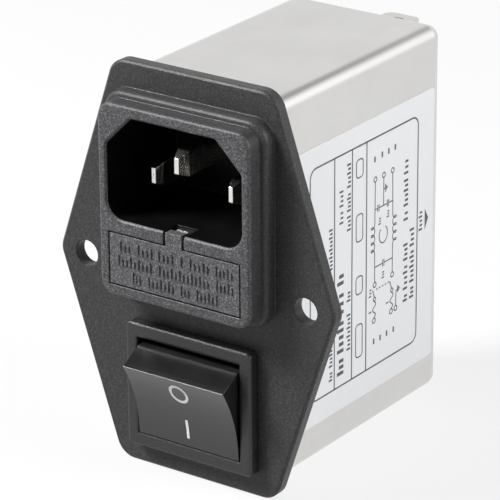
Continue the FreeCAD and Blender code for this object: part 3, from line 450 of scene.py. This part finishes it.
class Finish(NodeLayout):
    """A material round one Principled shader, in the object's own coordinates."""

    def __init__(self, name):
        self.material = bpy.data.materials.new(name)
        self.material.use_nodes = True
        super().__init__(self.material.node_tree)
        self.shader = self.add("ShaderNodeBsdfPrincipled")
        self.add("ShaderNodeOutputMaterial", {"Surface": self.shader.outputs["BSDF"]})
        self.place = self.add("ShaderNodeTexCoord").outputs["Object"]

    def set(self, **values):
        """Feeds inputs of the shader, by socket name with underscores."""
        for name, value in values.items():
            self.feed(self.shader.inputs[name.replace("_", " ")], value)

    def use(self, build, **values):
        """Places a shared node group, which is made on its first use, and feeds its inputs."""
        name = build.__name__.replace("_", " ").capitalize()
        group = bpy.data.node_groups.get(name) or build(name)
        inputs = {socket.replace("_", " "): value for socket, value in values.items()}
        node = self.add("ShaderNodeGroup", inputs, node_tree=group)
        if "Place" in node.inputs:
            self.feed(node.inputs["Place"], self.place)
        return node.outputs

    def done(self, colour, roughness, height, depth, strength, edge_radius=0.0):
        """The material with its colour, its roughness and a relief over edges that are shaded round."""
        relief = {"Height": height, "Distance": depth, "Strength": strength}
        if edge_radius:
            edge = self.add("ShaderNodeBevel", {"Radius": edge_radius}, samples=BEVEL_SAMPLES)
            relief["Normal"] = edge.outputs["Normal"]
        normal = self.add("ShaderNodeBump", relief).outputs["Normal"]
        self.set(Base_Color=colour, Roughness=roughness, Normal=normal)
        return self.material


def rgba(colour, factor=1.0, lift=0.0):
    """A colour with its alpha, made lighter or darker by a factor and a lift."""
    return (*(min(1.0, channel * factor + lift) for channel in colour), 1.0)


def plastic(name, colour, moulding, roughness, fleck=0.5, specular=0.5, face=None, areas=(), edge_gloss=None):
    """Moulded plastic with a spark-eroded grain and rubbed patches.

    moulding is the grain's size, its depth and the radius of edges, fleck how strongly the grain is painted
    lighter on its tops and darker in its hollows as painted highlight and shade, face the colour of the
    foremost face and that strength on it, areas the colour, roughness, roughness of edges, middle and half
    size of boxes that differ, and edge_gloss the roughness of edges that handling has rubbed smooth.
    """
    grain_size, grain_depth, edge_radius = moulding
    finish = Finish(name)
    finish.set(Specular_IOR_Level=specular)
    body = rgba(colour)
    if face:
        front = finish.use(front_fade, **FACE_FADE)["Mask"]
        body = finish.blend(front, body, rgba(face[0]))
        fleck = finish.spread(front, fleck, face[1])
    masks = []
    for area_colour, *_, middle, half in areas:
        masks.append(finish.use(box_area, Middle=middle, Half_Size=half)["Mask"])
        body = finish.blend(masks[-1], body, rgba(area_colour))
    grain = finish.use(
        moulded_grain, Colour=body, Grain_Size=grain_size, Fleck=fleck, Gloss_Spread=0.2, Roughness=roughness,
    )
    marks = finish.use(handling_marks, Patch_Size=0.012, Amount=0.25)
    rubbed = finish.blend(marks["Mask"], grain["Colour"], rgba(colour, *DUST))
    gloss = grain["Roughness"]
    if edge_gloss:
        edge = finish.use(worn_edges, Radius=edge_radius)["Mask"]
        gloss = finish.spread(edge, gloss, edge_gloss)
        for mask, (_, flat, dull, *_) in zip(masks, areas):
            gloss = finish.spread(mask, gloss, finish.spread(edge, flat, dull))
    return finish.done(rubbed, gloss, grain["Height"], grain_depth, strength=0.6, edge_radius=edge_radius)


def sheet_metal(name, colour, lines, roughness=0.3, edge_radius=0.0, stain=0.08, relief=0.12,
                depth=0.000006, tips=None):
    """Rolled and plated sheet metal.

    lines is the width and the length of its rolling lines, tips the y where upright lines start to fade and
    the y where they end.
    """
    finish = Finish(name)
    finish.set(Metallic=1.0)
    fade = 1.0
    if tips:
        fade = finish.use(front_fade, **tips)["Mask"]
        roughness = finish.spread(fade, roughness, TIP_ROUGHNESS)
        x, y, z = finish.parts(finish.place)
        finish.place = finish.vector(x, z, y)
    sheet = finish.use(
        rolled_sheet, Colour=rgba(colour), Line_Width=lines[0], Line_Length=lines[1], Stain=stain,
        Gloss_Spread=0.12, Roughness=roughness,
    )
    marks = finish.use(handling_marks, Patch_Size=0.018, Amount=0.3)
    rubbed = finish.blend(marks["Mask"], sheet["Colour"], rgba(colour, factor=0.93))
    height = finish.math("MULTIPLY", sheet["Height"], fade)
    return finish.done(rubbed, sheet["Roughness"], height, depth, relief, edge_radius)


def winding(colour):
    """Layers of enamelled wire, side by side along the spool, with painted shade in the grooves between
    turns.
    """
    finish = Finish("Enamelled copper winding")
    finish.set(Metallic=0.85, Coat_Weight=0.6, Coat_Roughness=0.15)
    wave = {"Vector": finish.place, "Scale": 320.0, "Distortion": 0.6, "Detail": 1.0}
    bands = {"wave_type": "BANDS", "bands_direction": "Z", "wave_profile": "SIN"}
    turns = finish.add("ShaderNodeTexWave", wave, **bands).outputs["Fac"]
    marks = finish.use(handling_marks, Patch_Size=0.004, Amount=0.8)
    # Darker colour where the turns' relief is low: painted shade in the grooves between wires
    wire = finish.blend(turns, rgba(colour, factor=0.35), rgba(colour))
    rubbed = finish.blend(marks["Mask"], wire, rgba(colour, factor=0.7))
    gloss = finish.spread(turns, low=0.45, high=0.25)
    return finish.done(rubbed, gloss, turns, depth=0.00015, strength=0.8)


def clear_glass(colour):
    """Clear drawn tube with faint drawing lines."""
    finish = Finish("Fuse glass")
    finish.set(Transmission_Weight=1.0, IOR=1.5)
    lines = finish.noise(finish.scaled(finish.place, GLASS_LINES), detail=1.0)
    tone = finish.blend(lines, rgba(colour), rgba(colour, factor=0.97))
    gloss = finish.spread(lines, low=0.01, high=0.05)
    return finish.done(tone, gloss, lines, depth=0.000004, strength=0.1)


def label_film(colour):
    """Smooth white film with a soft gloss."""
    finish = Finish("Label film")
    finish.set(Specular_IOR_Level=0.4)
    fibre = finish.noise(finish.place, scale=2600.0, detail=3.0, roughness=0.6)
    marks = finish.use(handling_marks, Patch_Size=0.015, Amount=0.25)
    grey = rgba(colour, factor=0.94)
    toned = finish.blend(finish.spread(fibre, low=0.0, high=0.35), rgba(colour), grey)
    rubbed = finish.blend(marks["Mask"], toned, grey)
    gloss = finish.spread(fibre, low=0.42, high=0.55)
    return finish.done(rubbed, gloss, fibre, depth=0.000004, strength=0.15)


def printed(name, colour, scale, tone, most, gloss, depth):
    """Uneven print with specks of another tone; most is how far they show, gloss the range of roughness."""
    finish = Finish(name)
    ink = finish.use(
        uneven_print, Scale=scale, Colour=rgba(colour), Speck_Colour=rgba(colour, tone), Speck_Share=most,
        Low_Roughness=gloss[0], High_Roughness=gloss[1],
    )
    return finish.done(ink["Colour"], ink["Roughness"], ink["Height"], depth, strength=0.2)


def dress(slots):
    """Gives every CAD node of a material slot its finish."""
    for node, slot in SLOT_OF.items():
        if slot not in slots:
            continue
        materials = NODES[node].data.materials
        if not materials:
            raise RuntimeError(f"{node} has no material slot to dress")
        for index in range(len(materials)):
            materials[index] = slots[slot]


# Flat printed and raised pieces

MITRE_LIMIT = 0.4
# Heights of the strokes in a row, as shares of the row's height
STROKE_SHARES = (1.0, 0.7, 0.7, 1.0, 0.7)


def turned(path, closed):
    """Unit offsets across a path at each of its points, lengthened at corners so the width stays even."""
    offsets = []
    count = len(path)
    for i in range(count):
        steps = []
        for start, end in ((i - 1, i), (i, i + 1)):
            if not closed and (start < 0 or end >= count):
                continue
            run = Vector(path[end % count]) - Vector(path[start % count])
            steps.append(Vector((-run.y, run.x)).normalized())
        middle = (steps[0] + steps[-1]).normalized()
        offsets.append(middle / max(MITRE_LIMIT, middle.dot(steps[0])))
    return offsets


def ribbon(mesh, path, width, at, closed=False):
    """Closed strip of even width along a flat path; at(u, v, level) gives its place, level 0 at its foot."""
    rings = []
    for point, offset in zip(path, turned(path, closed)):
        sides = (Vector(point) + offset * width / 2, Vector(point) - offset * width / 2)
        rings.append([mesh.verts.new(at(*sides[s], level)) for s, level in ((0, 0), (0, 1), (1, 1), (1, 0))])
    count = len(rings)
    for i in range(count if closed else count - 1):
        here, there = rings[i], rings[(i + 1) % count]
        for k in range(4):
            mesh.faces.new((here[k], here[(k + 1) % 4], there[(k + 1) % 4], there[k]))
    if not closed:
        mesh.faces.new(rings[0])
        mesh.faces.new(rings[-1][::-1])


def patch(mesh, outline, at, taper=0.0):
    """Closed flat piece over a convex outline, its top drawn in towards the middle by the taper."""
    middle = sum((Vector(point) for point in outline), Vector((0, 0))) / len(outline)
    foot = [mesh.verts.new(at(u, v, 0)) for u, v in outline]
    top = []
    for point in outline:
        inward = middle - Vector(point)
        drawn = Vector(point) + inward.normalized() * min(taper, inward.length / 2)
        top.append(mesh.verts.new(at(*drawn, 1)))
    mesh.faces.new(foot[::-1])
    mesh.faces.new(top)
    count = len(outline)
    for i in range(count):
        mesh.faces.new((foot[i], foot[(i + 1) % count], top[(i + 1) % count], top[i]))


def arc(centre, radii, start, end, steps):
    """Points along an arc of an ellipse, from one angle to another in degrees."""
    points = []
    for i in range(steps + 1):
        turn = math.radians(start + (end - start) * i / steps)
        points.append((centre[0] + radii[0] * math.cos(turn), centre[1] + radii[1] * math.sin(turn)))
    return points


def ring_path(centre, radius, steps=20):
    return arc(centre, (radius, radius), 0, 360, steps)[:-1]


def rounded_box(u0, u1, v0, v1, radius, steps=5):
    """Outline of a box with round corners."""
    points = []
    for (u, v), start in (
        ((u1 - radius, v1 - radius), 0),
        ((u0 + radius, v1 - radius), 90),
        ((u0 + radius, v0 + radius), 180),
        ((u1 - radius, v0 + radius), 270),
    ):
        points += arc((u, v), (radius, radius), start, start + 90, steps)
    return points


def mesh_object(mesh, name, material):
    """Turns a bmesh into an object of the scene."""
    data = bpy.data.meshes.new(name)
    mesh.to_mesh(data)
    mesh.free()
    data.materials.append(material)
    made = bpy.data.objects.new(name, data)
    bpy.context.scene.collection.objects.link(made)
    return made


def riding_piece(mesh, name, material, body):
    """Turns a bmesh into a piece that rides on a body."""
    bmesh.ops.recalc_face_normals(mesh, faces=mesh.faces)
    piece = mesh_object(mesh, name, material)
    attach(piece, body)


def strokes(start, end, pitch):
    """Middles of the plain strokes that fill a span, each with its share of the row's height."""
    count = max(1, round((end - start) / pitch))
    step = (end - start) / count
    return [(start + (i + 0.5) * step, STROKE_SHARES[i % len(STROKE_SHARES)]) for i in range(count)]


# The label's print, in millimetres along the can (y) and up (z)

# Low y, high y, low z, high z and corner radius
FRAME_LINE = (8.2, 37.4, -20.2, 17.15, 1.5)
DIVIDERS = (14.6, 19.3, 23.2)
# Low y, high y, corner radius and share of the frame's line width, then the low z and high z of each box
EMPTY_BOX = (20.4, 22.2, 0.6, 0.8)
EMPTY_BOX_ENDS = ((12.1, 15.0), (1.8, 6.2), (-6.8, -3.9), (-17.2, -11.8))
ROWS = (
    # middle y, height, then (low z, high z) of each run of strokes in the row
    (13.6, 0.95, (-18.6, -16.9), (-16.3, -12.6), (-11.9, -6.2), (-5.6, -1.2), (-0.5, 6.4)),
    (16.2, 1.75, (-18.6, -15.6), (-15.0, -9.4), (-8.8, -4.7), (-3.9, -1.7)),
    (16.4, 1.0, (5.95, 8.3), (8.7, 11.7)),
    (18.4, 1.0, (-15.2, -8.9), (-7.2, -5.3), (4.3, 7.0), (7.4, 10.6), (11.2, 15.4)),
    (34.1, 1.2, (-12.6, -11.2), (-10.7, -6.3), (-5.8, -2.6), (0.75, 2.7), (3.2, 8.0), (8.4, 11.2)),
    (35.9, 1.2, (-12.6, -10.5), (-10.0, -4.4), (-4.0, -0.6)),
    (38.3, 1.0, (-2.2, 1.3),),
    (24.3, 0.7, (-8.6, -7.0), (-11.3, -10.6)),
    (29.1, 0.7, (-11.3, -10.6), (3.1, 4.4)),
    (26.8, 0.7, (2.6, 3.9),),
    (27.8, 0.7, (-6.5, -5.2),),
)
# Pitch of the strokes as a share of their row's height, and their width as a share of the pitch
LABEL_PITCH = 0.68
LABEL_STROKE = 0.5
SHORT_STROKES = (
    (25.4, 13.7), (27.4, 13.9), (29.2, 13.9), (31.0, 14.0),
    (25.4, -16.1), (27.2, -16.1), (29.0, -16.0), (30.9, -16.0),
)
SHORT_STROKE_HALF = 0.45
SHORT_STROKE_WIDTH = 0.4
TERMINALS = (
    (25.56, 10.42), (27.89, 10.45), (30.32, 10.45), (25.56, -6.77),
    (30.42, -6.68), (25.4, -12.65), (30.2, -12.75), (31.46, -12.63),
)
TERMINAL_RADIUS = 0.4
SWITCH_DOTS = ((25.52, -9.13), (30.38, -9.28))
SWITCH_DOT_RADIUS = 0.32
WIRES = (
    ((25.56, 10.0), (25.5, 3.3)),
    ((25.5, -1.66), (25.55, -6.35)),
    ((27.89, 10.03), (27.86, 5.52)),
    ((30.34, 10.03), (30.46, 3.3)),
    ((30.46, -1.66), (30.43, -6.26)),
    ((25.5, -8.8), (25.02, -7.5)),
    ((30.3, -8.95), (29.76, -7.6)),
    ((31.48, -12.2), (31.56, -9.8), (32.0, -9.6)),
    ((25.52, 5.52), (26.27, 5.52)),
    ((26.62, 5.52), (28.9, 5.52)),
    ((29.25, 5.52), (30.42, 5.52)),
    ((25.53, -3.9), (27.75, -3.9)),
    ((28.1, -3.9), (30.44, -3.9)),
    ((27.88, 8.2), (28.35, 8.2)),
)
PLATES = (
    # y, low z, high z of the short lines that cross a wire
    (26.27, 4.95, 6.1), (26.62, 4.95, 6.1), (28.9, 4.95, 6.1), (29.25, 4.95, 6.1),
    (27.75, -4.5, -3.3), (28.1, -4.5, -3.3),
    (28.35, 7.55, 8.85), (28.62, 7.8, 8.6), (28.88, 8.05, 8.35),
    (32.0, -10.2, -9.0), (32.27, -10.0, -9.2), (32.53, -9.75, -9.45),
)
# Middle y, and the side that the loops of a coil lie on
COILS = ((25.5, -1), (30.46, 1))
COIL_ENDS = (3.3, -1.66)
COIL_TURNS = 4
COIL_STEPS = 16
COIL_REACH = 0.5
COIL_LOOP = 0.42
# y and z of the upper and the lower end
FUSES = ((25.5, -9.5, 25.42, -12.2), (30.36, -9.65, 30.22, -12.3))
FUSE_SWAY = 0.4
FUSE_HALF_WAVES = 3
FUSE_STEPS = 24
# Low y, high y, z and number of dashes
LINK = (25.95, 29.6, -7.65, 5)
# Middle, radii, the two end angles in degrees and the number of steps
CORE_ARC = ((27.86, 0.8), (1.15, 1.35), 60, -230, 24)
ARROW = ((39.55, 1.2), (39.55, -2.3), (40.52, -0.5))

# Raised strokes on the drawer front, in millimetres: middle z, then (left x, right x) of each run
DRAWER_ROWS = (
    (5.15, (-10.2, -7.9), (-7.0, -3.8), (-3.2, 0.0), (0.8, 1.7), (2.5, 6.4), (7.2, 10.6)),
    (2.85, (-10.6, -4.0), (-3.1, 6.4), (7.3, 10.7)),
    (0.55, (-7.9, -6.1), (-5.1, 0.0), (0.9, 2.8), (3.7, 7.9)),
)
RAISED_PITCH = 0.72
RAISED_WIDTH = 0.4
RAISED_CORNER = 0.12
RAISED_CORNER_STEPS = 2
RAISED_TAPER = 0.05

# Middle of the off ring and of the on bar on the rocker, in millimetres (x, z)
OFF_MARK = (-0.05, -16.75)
ON_MARK = (0.05, -23.2)
RING_STEPS = 64
BAR_STEPS = 16
# How many paint heights the paint's foot is sunk
PAINT_FOOT = 2
# How far in front of the part the rays to the rocker start
RAY_START = 0.05

# Soft lamps: place, point that they face and width
KEY_LAMP = ((-0.36, -0.29, 0.45), (0.0, 0.0, 0.0), 0.2)
SIDE_LAMP = ((0.82, 0.22, 0.44), (0.0, 0.02, 0.0), 0.6)
RIM_LAMP = ((0.66, 0.50, 0.46), (0.0, 0.02, 0.0), 1.1)
FLOOR_HALF = 2.5
FLOOR_CELLS = 24
CLOTH_RATE = 40.0
CLOTH_DARKEST = 0.985
# Heights of the view between which the horizon turns into the ceiling
CEILING_EDGE = (0.54, 0.66)
SENSOR_WIDTH = 36.0
NEAREST = 0.01
FARTHEST = 20.0


class POWER_ENTRY_OT_plastics(Operator):
    """Finishes the moulded plastic pieces"""

    bl_idname = "power_entry.plastics"
    bl_label = "Finish Plastics"

    def execute(self, context):
        look = context.scene.power_entry_plastics
        settings = (look.grain_size, look.grain_depth, look.edge_radius)

        def moulding(shares):
            return [size * share for size, share in zip(settings, shares)]

        # Areas: colour, roughness, roughness of edges, middle and half size
        # The ramp's pale colour is a painted highlight
        ramp = (look.ramp_colour, 0.5, 0.5, RAMP_HIGHLIGHT_MIDDLE, RAMP_HIGHLIGHT_HALF)
        # The inlet's and the fuse bay's dark colour is painted shade in these recesses
        inlet = (look.inlet_colour, 0.28, 0.8, INLET_SHADE_MIDDLE, INLET_SHADE_HALF)
        bay_shade = (look.inlet_colour, 0.5, 0.9, BAY_SHADE_MIDDLE, BAY_SHADE_HALF)
        sill = (look.switch_colour, 0.42, 0.9, SILL_MIDDLE, SILL_HALF)
        dress({
            "housing_plastic": plastic(
                "Housing plastic", look.housing_colour, moulding(PLAIN_MOULDING), roughness=0.42, fleck=1.8,
                specular=0.25, face=(look.drawer_colour, 3.2), areas=(inlet, bay_shade), edge_gloss=0.22,
            ),
            "drawer_plastic": plastic(
                "Drawer plastic", look.drawer_colour, moulding(DRAWER_MOULDING), roughness=0.6, fleck=4.0,
                areas=(ramp,), edge_gloss=0.34,
            ),
            "switch_plastic": plastic(
                "Bezel plastic", look.switch_colour, moulding(BEZEL_MOULDING), roughness=0.42, fleck=4.0,
                areas=(sill,), edge_gloss=0.3,
            ),
            "rocker_plastic": plastic(
                "Rocker plastic", look.rocker_colour, moulding(ROCKER_MOULDING), roughness=0.2, fleck=1.0,
                specular=0.75,
            ),
            "block_plastic": plastic(
                "Terminal block plastic", look.block_colour, moulding(PLAIN_MOULDING), roughness=0.5,
            ),
        })
        return {"FINISHED"}


class POWER_ENTRY_OT_metals(Operator):
    """Finishes the can, the tabs, the pins and the contact metal"""

    bl_idname = "power_entry.metals"
    bl_label = "Finish Metals"

    def execute(self, context):
        look = context.scene.power_entry_metals
        lines = (look.streak_width, look.streak_length)
        dress({
            "can_steel": sheet_metal(
                "Tinned can steel", look.steel_colour, lines, edge_radius=look.bend_radius, stain=0.14,
            ),
            "tab_metal": sheet_metal("Tinned tab", look.tab_colour, lines, stain=0.14),
            "pin_metal": sheet_metal(
                "Plated pin", look.pin_colour, (look.mill_width, look.mill_length), roughness=0.16,
                edge_radius=PIN_EDGE, stain=0.3, relief=1.0, depth=look.mill_depth, tips=TIP_FADE,
            ),
            "fuse_cap_metal": sheet_metal(
                "Plated fuse cap", look.pin_colour, lines, roughness=0.18, edge_radius=CONTACT_EDGE,
            ),
            "fuse_wire": sheet_metal("Fuse element", look.pin_colour, lines),
            "spring_steel": sheet_metal("Spring steel", SPRING_COLOUR, lines),
            "contact_brass": sheet_metal(
                "Contact brass", look.brass_colour, lines, roughness=0.28, edge_radius=CONTACT_EDGE,
                stain=0.2,
            ),
            "copper_strip": sheet_metal(
                "Copper strap", look.copper_colour, lines, edge_radius=CONTACT_EDGE, stain=0.25,
            ),
        })
        return {"FINISHED"}


class POWER_ENTRY_OT_filter(Operator):
    """Finishes the filter's components, the leads and the fuse glass"""

    bl_idname = "power_entry.filter"
    bl_label = "Finish Filter"

    def execute(self, context):
        look = context.scene.power_entry_filter
        copper = context.scene.power_entry_metals.copper_colour
        slots = {"copper_winding": winding(copper), "fuse_glass": clear_glass(look.glass_colour)}
        for slot, name, colour, moulding, roughness, fleck in FILTER_PLASTICS:
            slots[slot] = plastic(name, getattr(look, colour), moulding, roughness, fleck)
        dress(slots)
        return {"FINISHED"}


class POWER_ENTRY_OT_label(Operator):
    """Finishes the label sheet and prints its frame, circuit drawing and plain strokes"""

    bl_idname = "power_entry.label"
    bl_label = "Print Label"

    def execute(self, context):
        look = context.scene.power_entry_label
        dress({"label_sheet": label_film(look.sheet_colour)})
        mesh = bmesh.new()
        foot = LABEL_FACE_X - look.ink_height

        def at(y, z, level):
            return Vector((foot + level * 2 * look.ink_height, y * MM, z * MM))

        self.rule(mesh, look.rule_width / MM, at)
        self.rows(mesh, at)
        self.circuit(mesh, look.wire_width / MM, at)
        ink = printed(
            "Label ink", look.ink_colour, scale=5200.0, tone=2.6, most=0.6, gloss=(0.4, 0.6), depth=0.000003,
        )
        riding_piece(mesh, "label_print", ink, "module")
        return {"FINISHED"}

    def rule(self, mesh, width, at):
        """Rounded frame, the lines that divide it and a row of empty boxes."""
        y0, y1, z0, z1, radius = FRAME_LINE
        ribbon(mesh, rounded_box(y0, y1, z0, z1, radius), width, at, closed=True)
        for y in DIVIDERS:
            ribbon(mesh, [(y, z0), (y, z1)], width, at)
        y0, y1, radius, share = EMPTY_BOX
        for z0, z1 in EMPTY_BOX_ENDS:
            ribbon(mesh, rounded_box(y0, y1, z0, z1, radius), width * share, at, closed=True)

    def rows(self, mesh, at):
        """Rows of plain strokes, short strokes beside the circuit and an arrow."""
        for y, height, *spans in ROWS:
            pitch = height * LABEL_PITCH
            foot = y + height / 2
            for z0, z1 in spans:
                for z, share in strokes(z0, z1, pitch):
                    ribbon(mesh, [(foot, z), (foot - height * share, z)], pitch * LABEL_STROKE, at)
        for y, z in SHORT_STROKES:
            ends = [(y, z - SHORT_STROKE_HALF), (y, z + SHORT_STROKE_HALF)]
            ribbon(mesh, ends, SHORT_STROKE_WIDTH, at)
        patch(mesh, ARROW, at)

    def circuit(self, mesh, width, at):
        """Drawing of the filter: chokes, capacitors, fuses, switch and terminals."""
        for path in WIRES:
            ribbon(mesh, path, width, at)
        for y, z0, z1 in PLATES:
            ribbon(mesh, [(y, z0), (y, z1)], width, at)
        for centres, radius in ((TERMINALS, TERMINAL_RADIUS), (SWITCH_DOTS, SWITCH_DOT_RADIUS)):
            for centre in centres:
                ribbon(mesh, ring_path(centre, radius), width, at, closed=True)
        top, low = COIL_ENDS
        for y, way in COILS:
            path = []
            for i in range(COIL_TURNS * COIL_STEPS + 1):
                turn = 2 * math.pi * i / COIL_STEPS
                run = top + (low - top) * i / (COIL_TURNS * COIL_STEPS)
                path.append((y + way * COIL_REACH * (1 - math.cos(turn)), run - COIL_LOOP * math.sin(turn)))
            ribbon(mesh, path, width, at)
        for y0, z0, y1, z1 in FUSES:
            path = []
            for i in range(FUSE_STEPS + 1):
                share = i / FUSE_STEPS
                sway = FUSE_SWAY * math.sin(share * FUSE_HALF_WAVES * math.pi)
                path.append((y0 + (y1 - y0) * share + sway, z0 + (z1 - z0) * share))
            ribbon(mesh, path, width, at)
        y0, y1, z, dashes = LINK
        pitch = (y1 - y0) / (2 * dashes - 1)
        for i in range(dashes):
            start = y0 + 2 * i * pitch
            ribbon(mesh, [(start, z), (start + pitch, z)], width, at)
        ribbon(mesh, arc(*CORE_ARC), width, at)


class POWER_ENTRY_OT_marks(Operator):
    """Prints the off ring and on bar on the rocker and moulds the raised strokes on the drawer front"""

    bl_idname = "power_entry.marks"
    bl_label = "Add Marks"

    def execute(self, context):
        look = context.scene.power_entry_marks
        self.rocker_marks(look)
        self.drawer_rows(look)
        return {"FINISHED"}

    def rocker_marks(self, look):
        """Ring and bar laid on the rocker's hollow face."""
        rocker = NODES["rocker"].data
        surface = BVHTree.FromPolygons(
            [vertex.co.copy() for vertex in rocker.vertices],
            [tuple(face.vertices) for face in rocker.polygons],
        )
        ahead = CAD_BOX[0].y - RAY_START

        def at(x, z, level):
            hit = surface.ray_cast(Vector((x * MM, ahead, z * MM)), Vector((0, 1, 0)))[0]
            if hit is None:
                raise RuntimeError("a switch mark lies off the rocker")
            return hit + Vector((0, look.paint_height * (PAINT_FOOT - (PAINT_FOOT + 1) * level), 0))

        mesh = bmesh.new()
        width = look.mark_width / MM
        ribbon(mesh, ring_path(OFF_MARK, look.ring_radius / MM, RING_STEPS), width, at, closed=True)
        x, z = ON_MARK
        half = look.bar_length / MM / 2
        bar = [(x, z + half * (1 - 2 * i / BAR_STEPS)) for i in range(BAR_STEPS + 1)]
        ribbon(mesh, bar, width, at)
        paint = printed(
            "Mark paint", look.mark_colour, scale=4200.0, tone=0.9, most=1.0, gloss=(0.35, 0.5),
            depth=0.000004,
        )
        riding_piece(mesh, "rocker_marks", paint, "rocker")

    def drawer_rows(self, look):
        """Low raised strokes in rows."""

        def at(x, z, level):
            return Vector((x * MM, DRAWER_FACE_Y + look.row_relief * (1 - 2 * level), z * MM))

        mesh = bmesh.new()
        height = look.row_height / MM
        side = RAISED_WIDTH / 2
        for z, *spans in DRAWER_ROWS:
            foot = z - height / 2
            for x0, x1 in spans:
                for x, share in strokes(x0, x1, RAISED_PITCH):
                    outline = rounded_box(
                        x - side, x + side, foot, foot + height * share, RAISED_CORNER, RAISED_CORNER_STEPS,
                    )
                    patch(mesh, outline, at, RAISED_TAPER)
        riding_piece(mesh, "drawer_rows", bpy.data.materials["Drawer plastic"], "drawer")


class POWER_ENTRY_OT_stage(Operator):
    """Sets the floor, the even room light, the soft lamps and the camera"""

    bl_idname = "power_entry.stage"
    bl_label = "Set Stage"

    def execute(self, context):
        look = context.scene.power_entry_stage
        context.scene.view_settings.view_transform = "Standard"
        self.floor(look)
        self.room(context.scene, look)
        self.lamp("key_softbox", look.key_power, *KEY_LAMP)
        self.lamp("side_softbox", look.side_power, *SIDE_LAMP)
        self.lamp("rim_softbox", look.rim_power, *RIM_LAMP)
        self.camera(context.scene, look)
        return {"FINISHED"}

    def seen_directly(self, layout):
        """1 for rays that show the studio itself: to the camera, off gloss and through glass."""
        path = layout.add("ShaderNodeLightPath").outputs
        seen = layout.math("MAXIMUM", path["Is Camera Ray"], path["Is Glossy Ray"])
        return layout.math("MAXIMUM", seen, path["Is Transmission Ray"])

    def floor(self, look):
        """Wide floor under the object."""
        mesh = bmesh.new()
        bmesh.ops.create_grid(mesh, x_segments=FLOOR_CELLS, y_segments=FLOOR_CELLS, size=FLOOR_HALF)
        floor = mesh_object(mesh, "floor", self.floor_cloth(look))
        floor.location.z = FLOOR_Z

    def floor_cloth(self, look):
        """Pale cloth that keeps the object's shadow under a white glow."""
        material = bpy.data.materials.new("Studio floor")
        material.use_nodes = True
        layout = NodeLayout(material.node_tree)
        cloth = layout.noise(layout.add("ShaderNodeTexCoord").outputs["Object"], CLOTH_RATE, detail=3.0)
        shade = layout.spread(cloth, 1.0, CLOTH_DARKEST)
        seen = self.seen_directly(layout)
        tone = layout.blend(seen, rgba(look.floor_colour), rgba(look.seen_floor_colour))
        pale = layout.add("ShaderNodeBsdfDiffuse", {"Color": layout.scaled(tone, shade)})
        share = layout.math("MULTIPLY", seen, look.floor_glow)
        layout.surface("ShaderNodeOutputMaterial", share, pale, layout.add("ShaderNodeEmission"))
        return material

    def room(self, scene, look):
        """Even light from all round under a dimmer ceiling, plain white where its horizon is seen."""
        world = bpy.data.worlds.new("Studio room")
        world.use_nodes = True
        scene.world = world
        layout = NodeLayout(world.node_tree)
        height = layout.parts(layout.add("ShaderNodeTexCoord").outputs["Generated"])["Z"]
        level = layout.spread(height, 1.0, look.ceiling_level, CEILING_EDGE, interpolation_type="SMOOTHSTEP")
        even = layout.add("ShaderNodeBackground", {"Color": level, "Strength": look.room_level})
        white = layout.add("ShaderNodeBackground", {"Color": level})
        layout.surface("ShaderNodeOutputWorld", self.seen_directly(layout), even, white)

    def lamp(self, name, power, place, target, size):
        """Square soft light that faces a point."""
        data = bpy.data.lights.new(name, "AREA")
        data.energy = power
        data.size = size
        lamp = bpy.data.objects.new(name, data)
        lamp.location = place
        lamp.rotation_euler = (Vector(target) - Vector(place)).to_track_quat("-Z", "Y").to_euler()
        bpy.context.scene.collection.objects.link(lamp)

    def camera(self, scene, look):
        """Long lens at the height and turn of the product view."""
        data = bpy.data.cameras.new("camera")
        data.sensor_width = SENSOR_WIDTH
        data.lens = look.lens
        data.clip_start = NEAREST
        data.clip_end = FARTHEST
        camera = bpy.data.objects.new("camera", data)
        across = math.cos(look.elevation)
        back = Vector((
            math.sin(look.azimuth) * across, -math.cos(look.azimuth) * across, math.sin(look.elevation),
        ))
        right = Vector((math.cos(look.azimuth), math.sin(look.azimuth), 0.0))
        up = back.cross(right)
        leant_right = right * math.cos(look.roll) + up * math.sin(look.roll)
        leant_up = up * math.cos(look.roll) - right * math.sin(look.roll)
        turn = Matrix((leant_right, leant_up, back)).transposed().to_4x4()
        camera.matrix_world = Matrix.Translation(Vector(look.target) + back * look.distance) @ turn
        scene.collection.objects.link(camera)
        scene.camera = camera


class POWER_ENTRY_PT_panel(Panel):
    """Sizes, colours and steps of the power entry module"""

    bl_idname = "POWER_ENTRY_PT_panel"
    bl_label = "Power Entry"
    bl_space_type = "VIEW_3D"
    bl_region_type = "UI"
    bl_category = "Power Entry"

    def draw(self, context):
        for step, settings, _ in STEPS:
            box = self.layout.box()
            box.operator(step.bl_idname)
            group = getattr(context.scene, settings)
            for name in group.bl_rna.properties.keys():
                if name not in {"rna_type", "name"}:
                    box.prop(group, name)


STEPS = (
    (POWER_ENTRY_OT_plastics, "power_entry_plastics", PlasticSettings),
    (POWER_ENTRY_OT_metals, "power_entry_metals", MetalSettings),
    (POWER_ENTRY_OT_filter, "power_entry_filter", FilterSettings),
    (POWER_ENTRY_OT_label, "power_entry_label", LabelSettings),
    (POWER_ENTRY_OT_marks, "power_entry_marks", MarkSettings),
    (POWER_ENTRY_OT_stage, "power_entry_stage", StageSettings),
)


def register():
    for step, settings, group in STEPS:
        bpy.utils.register_class(group)
        bpy.utils.register_class(step)
        setattr(bpy.types.Scene, settings, PointerProperty(type=group))
    bpy.utils.register_class(POWER_ENTRY_PT_panel)


def unregister():
    bpy.utils.unregister_class(POWER_ENTRY_PT_panel)
    for step, settings, group in reversed(STEPS):
        delattr(bpy.types.Scene, settings)
        bpy.utils.unregister_class(step)
        bpy.utils.unregister_class(group)


def main():
    register()
    bpy.ops.power_entry.plastics()
    bpy.ops.power_entry.metals()
    bpy.ops.power_entry.filter()
    bpy.ops.power_entry.label()
    bpy.ops.power_entry.marks()
    bpy.ops.power_entry.stage()


if __name__ == "__main__":
    main()
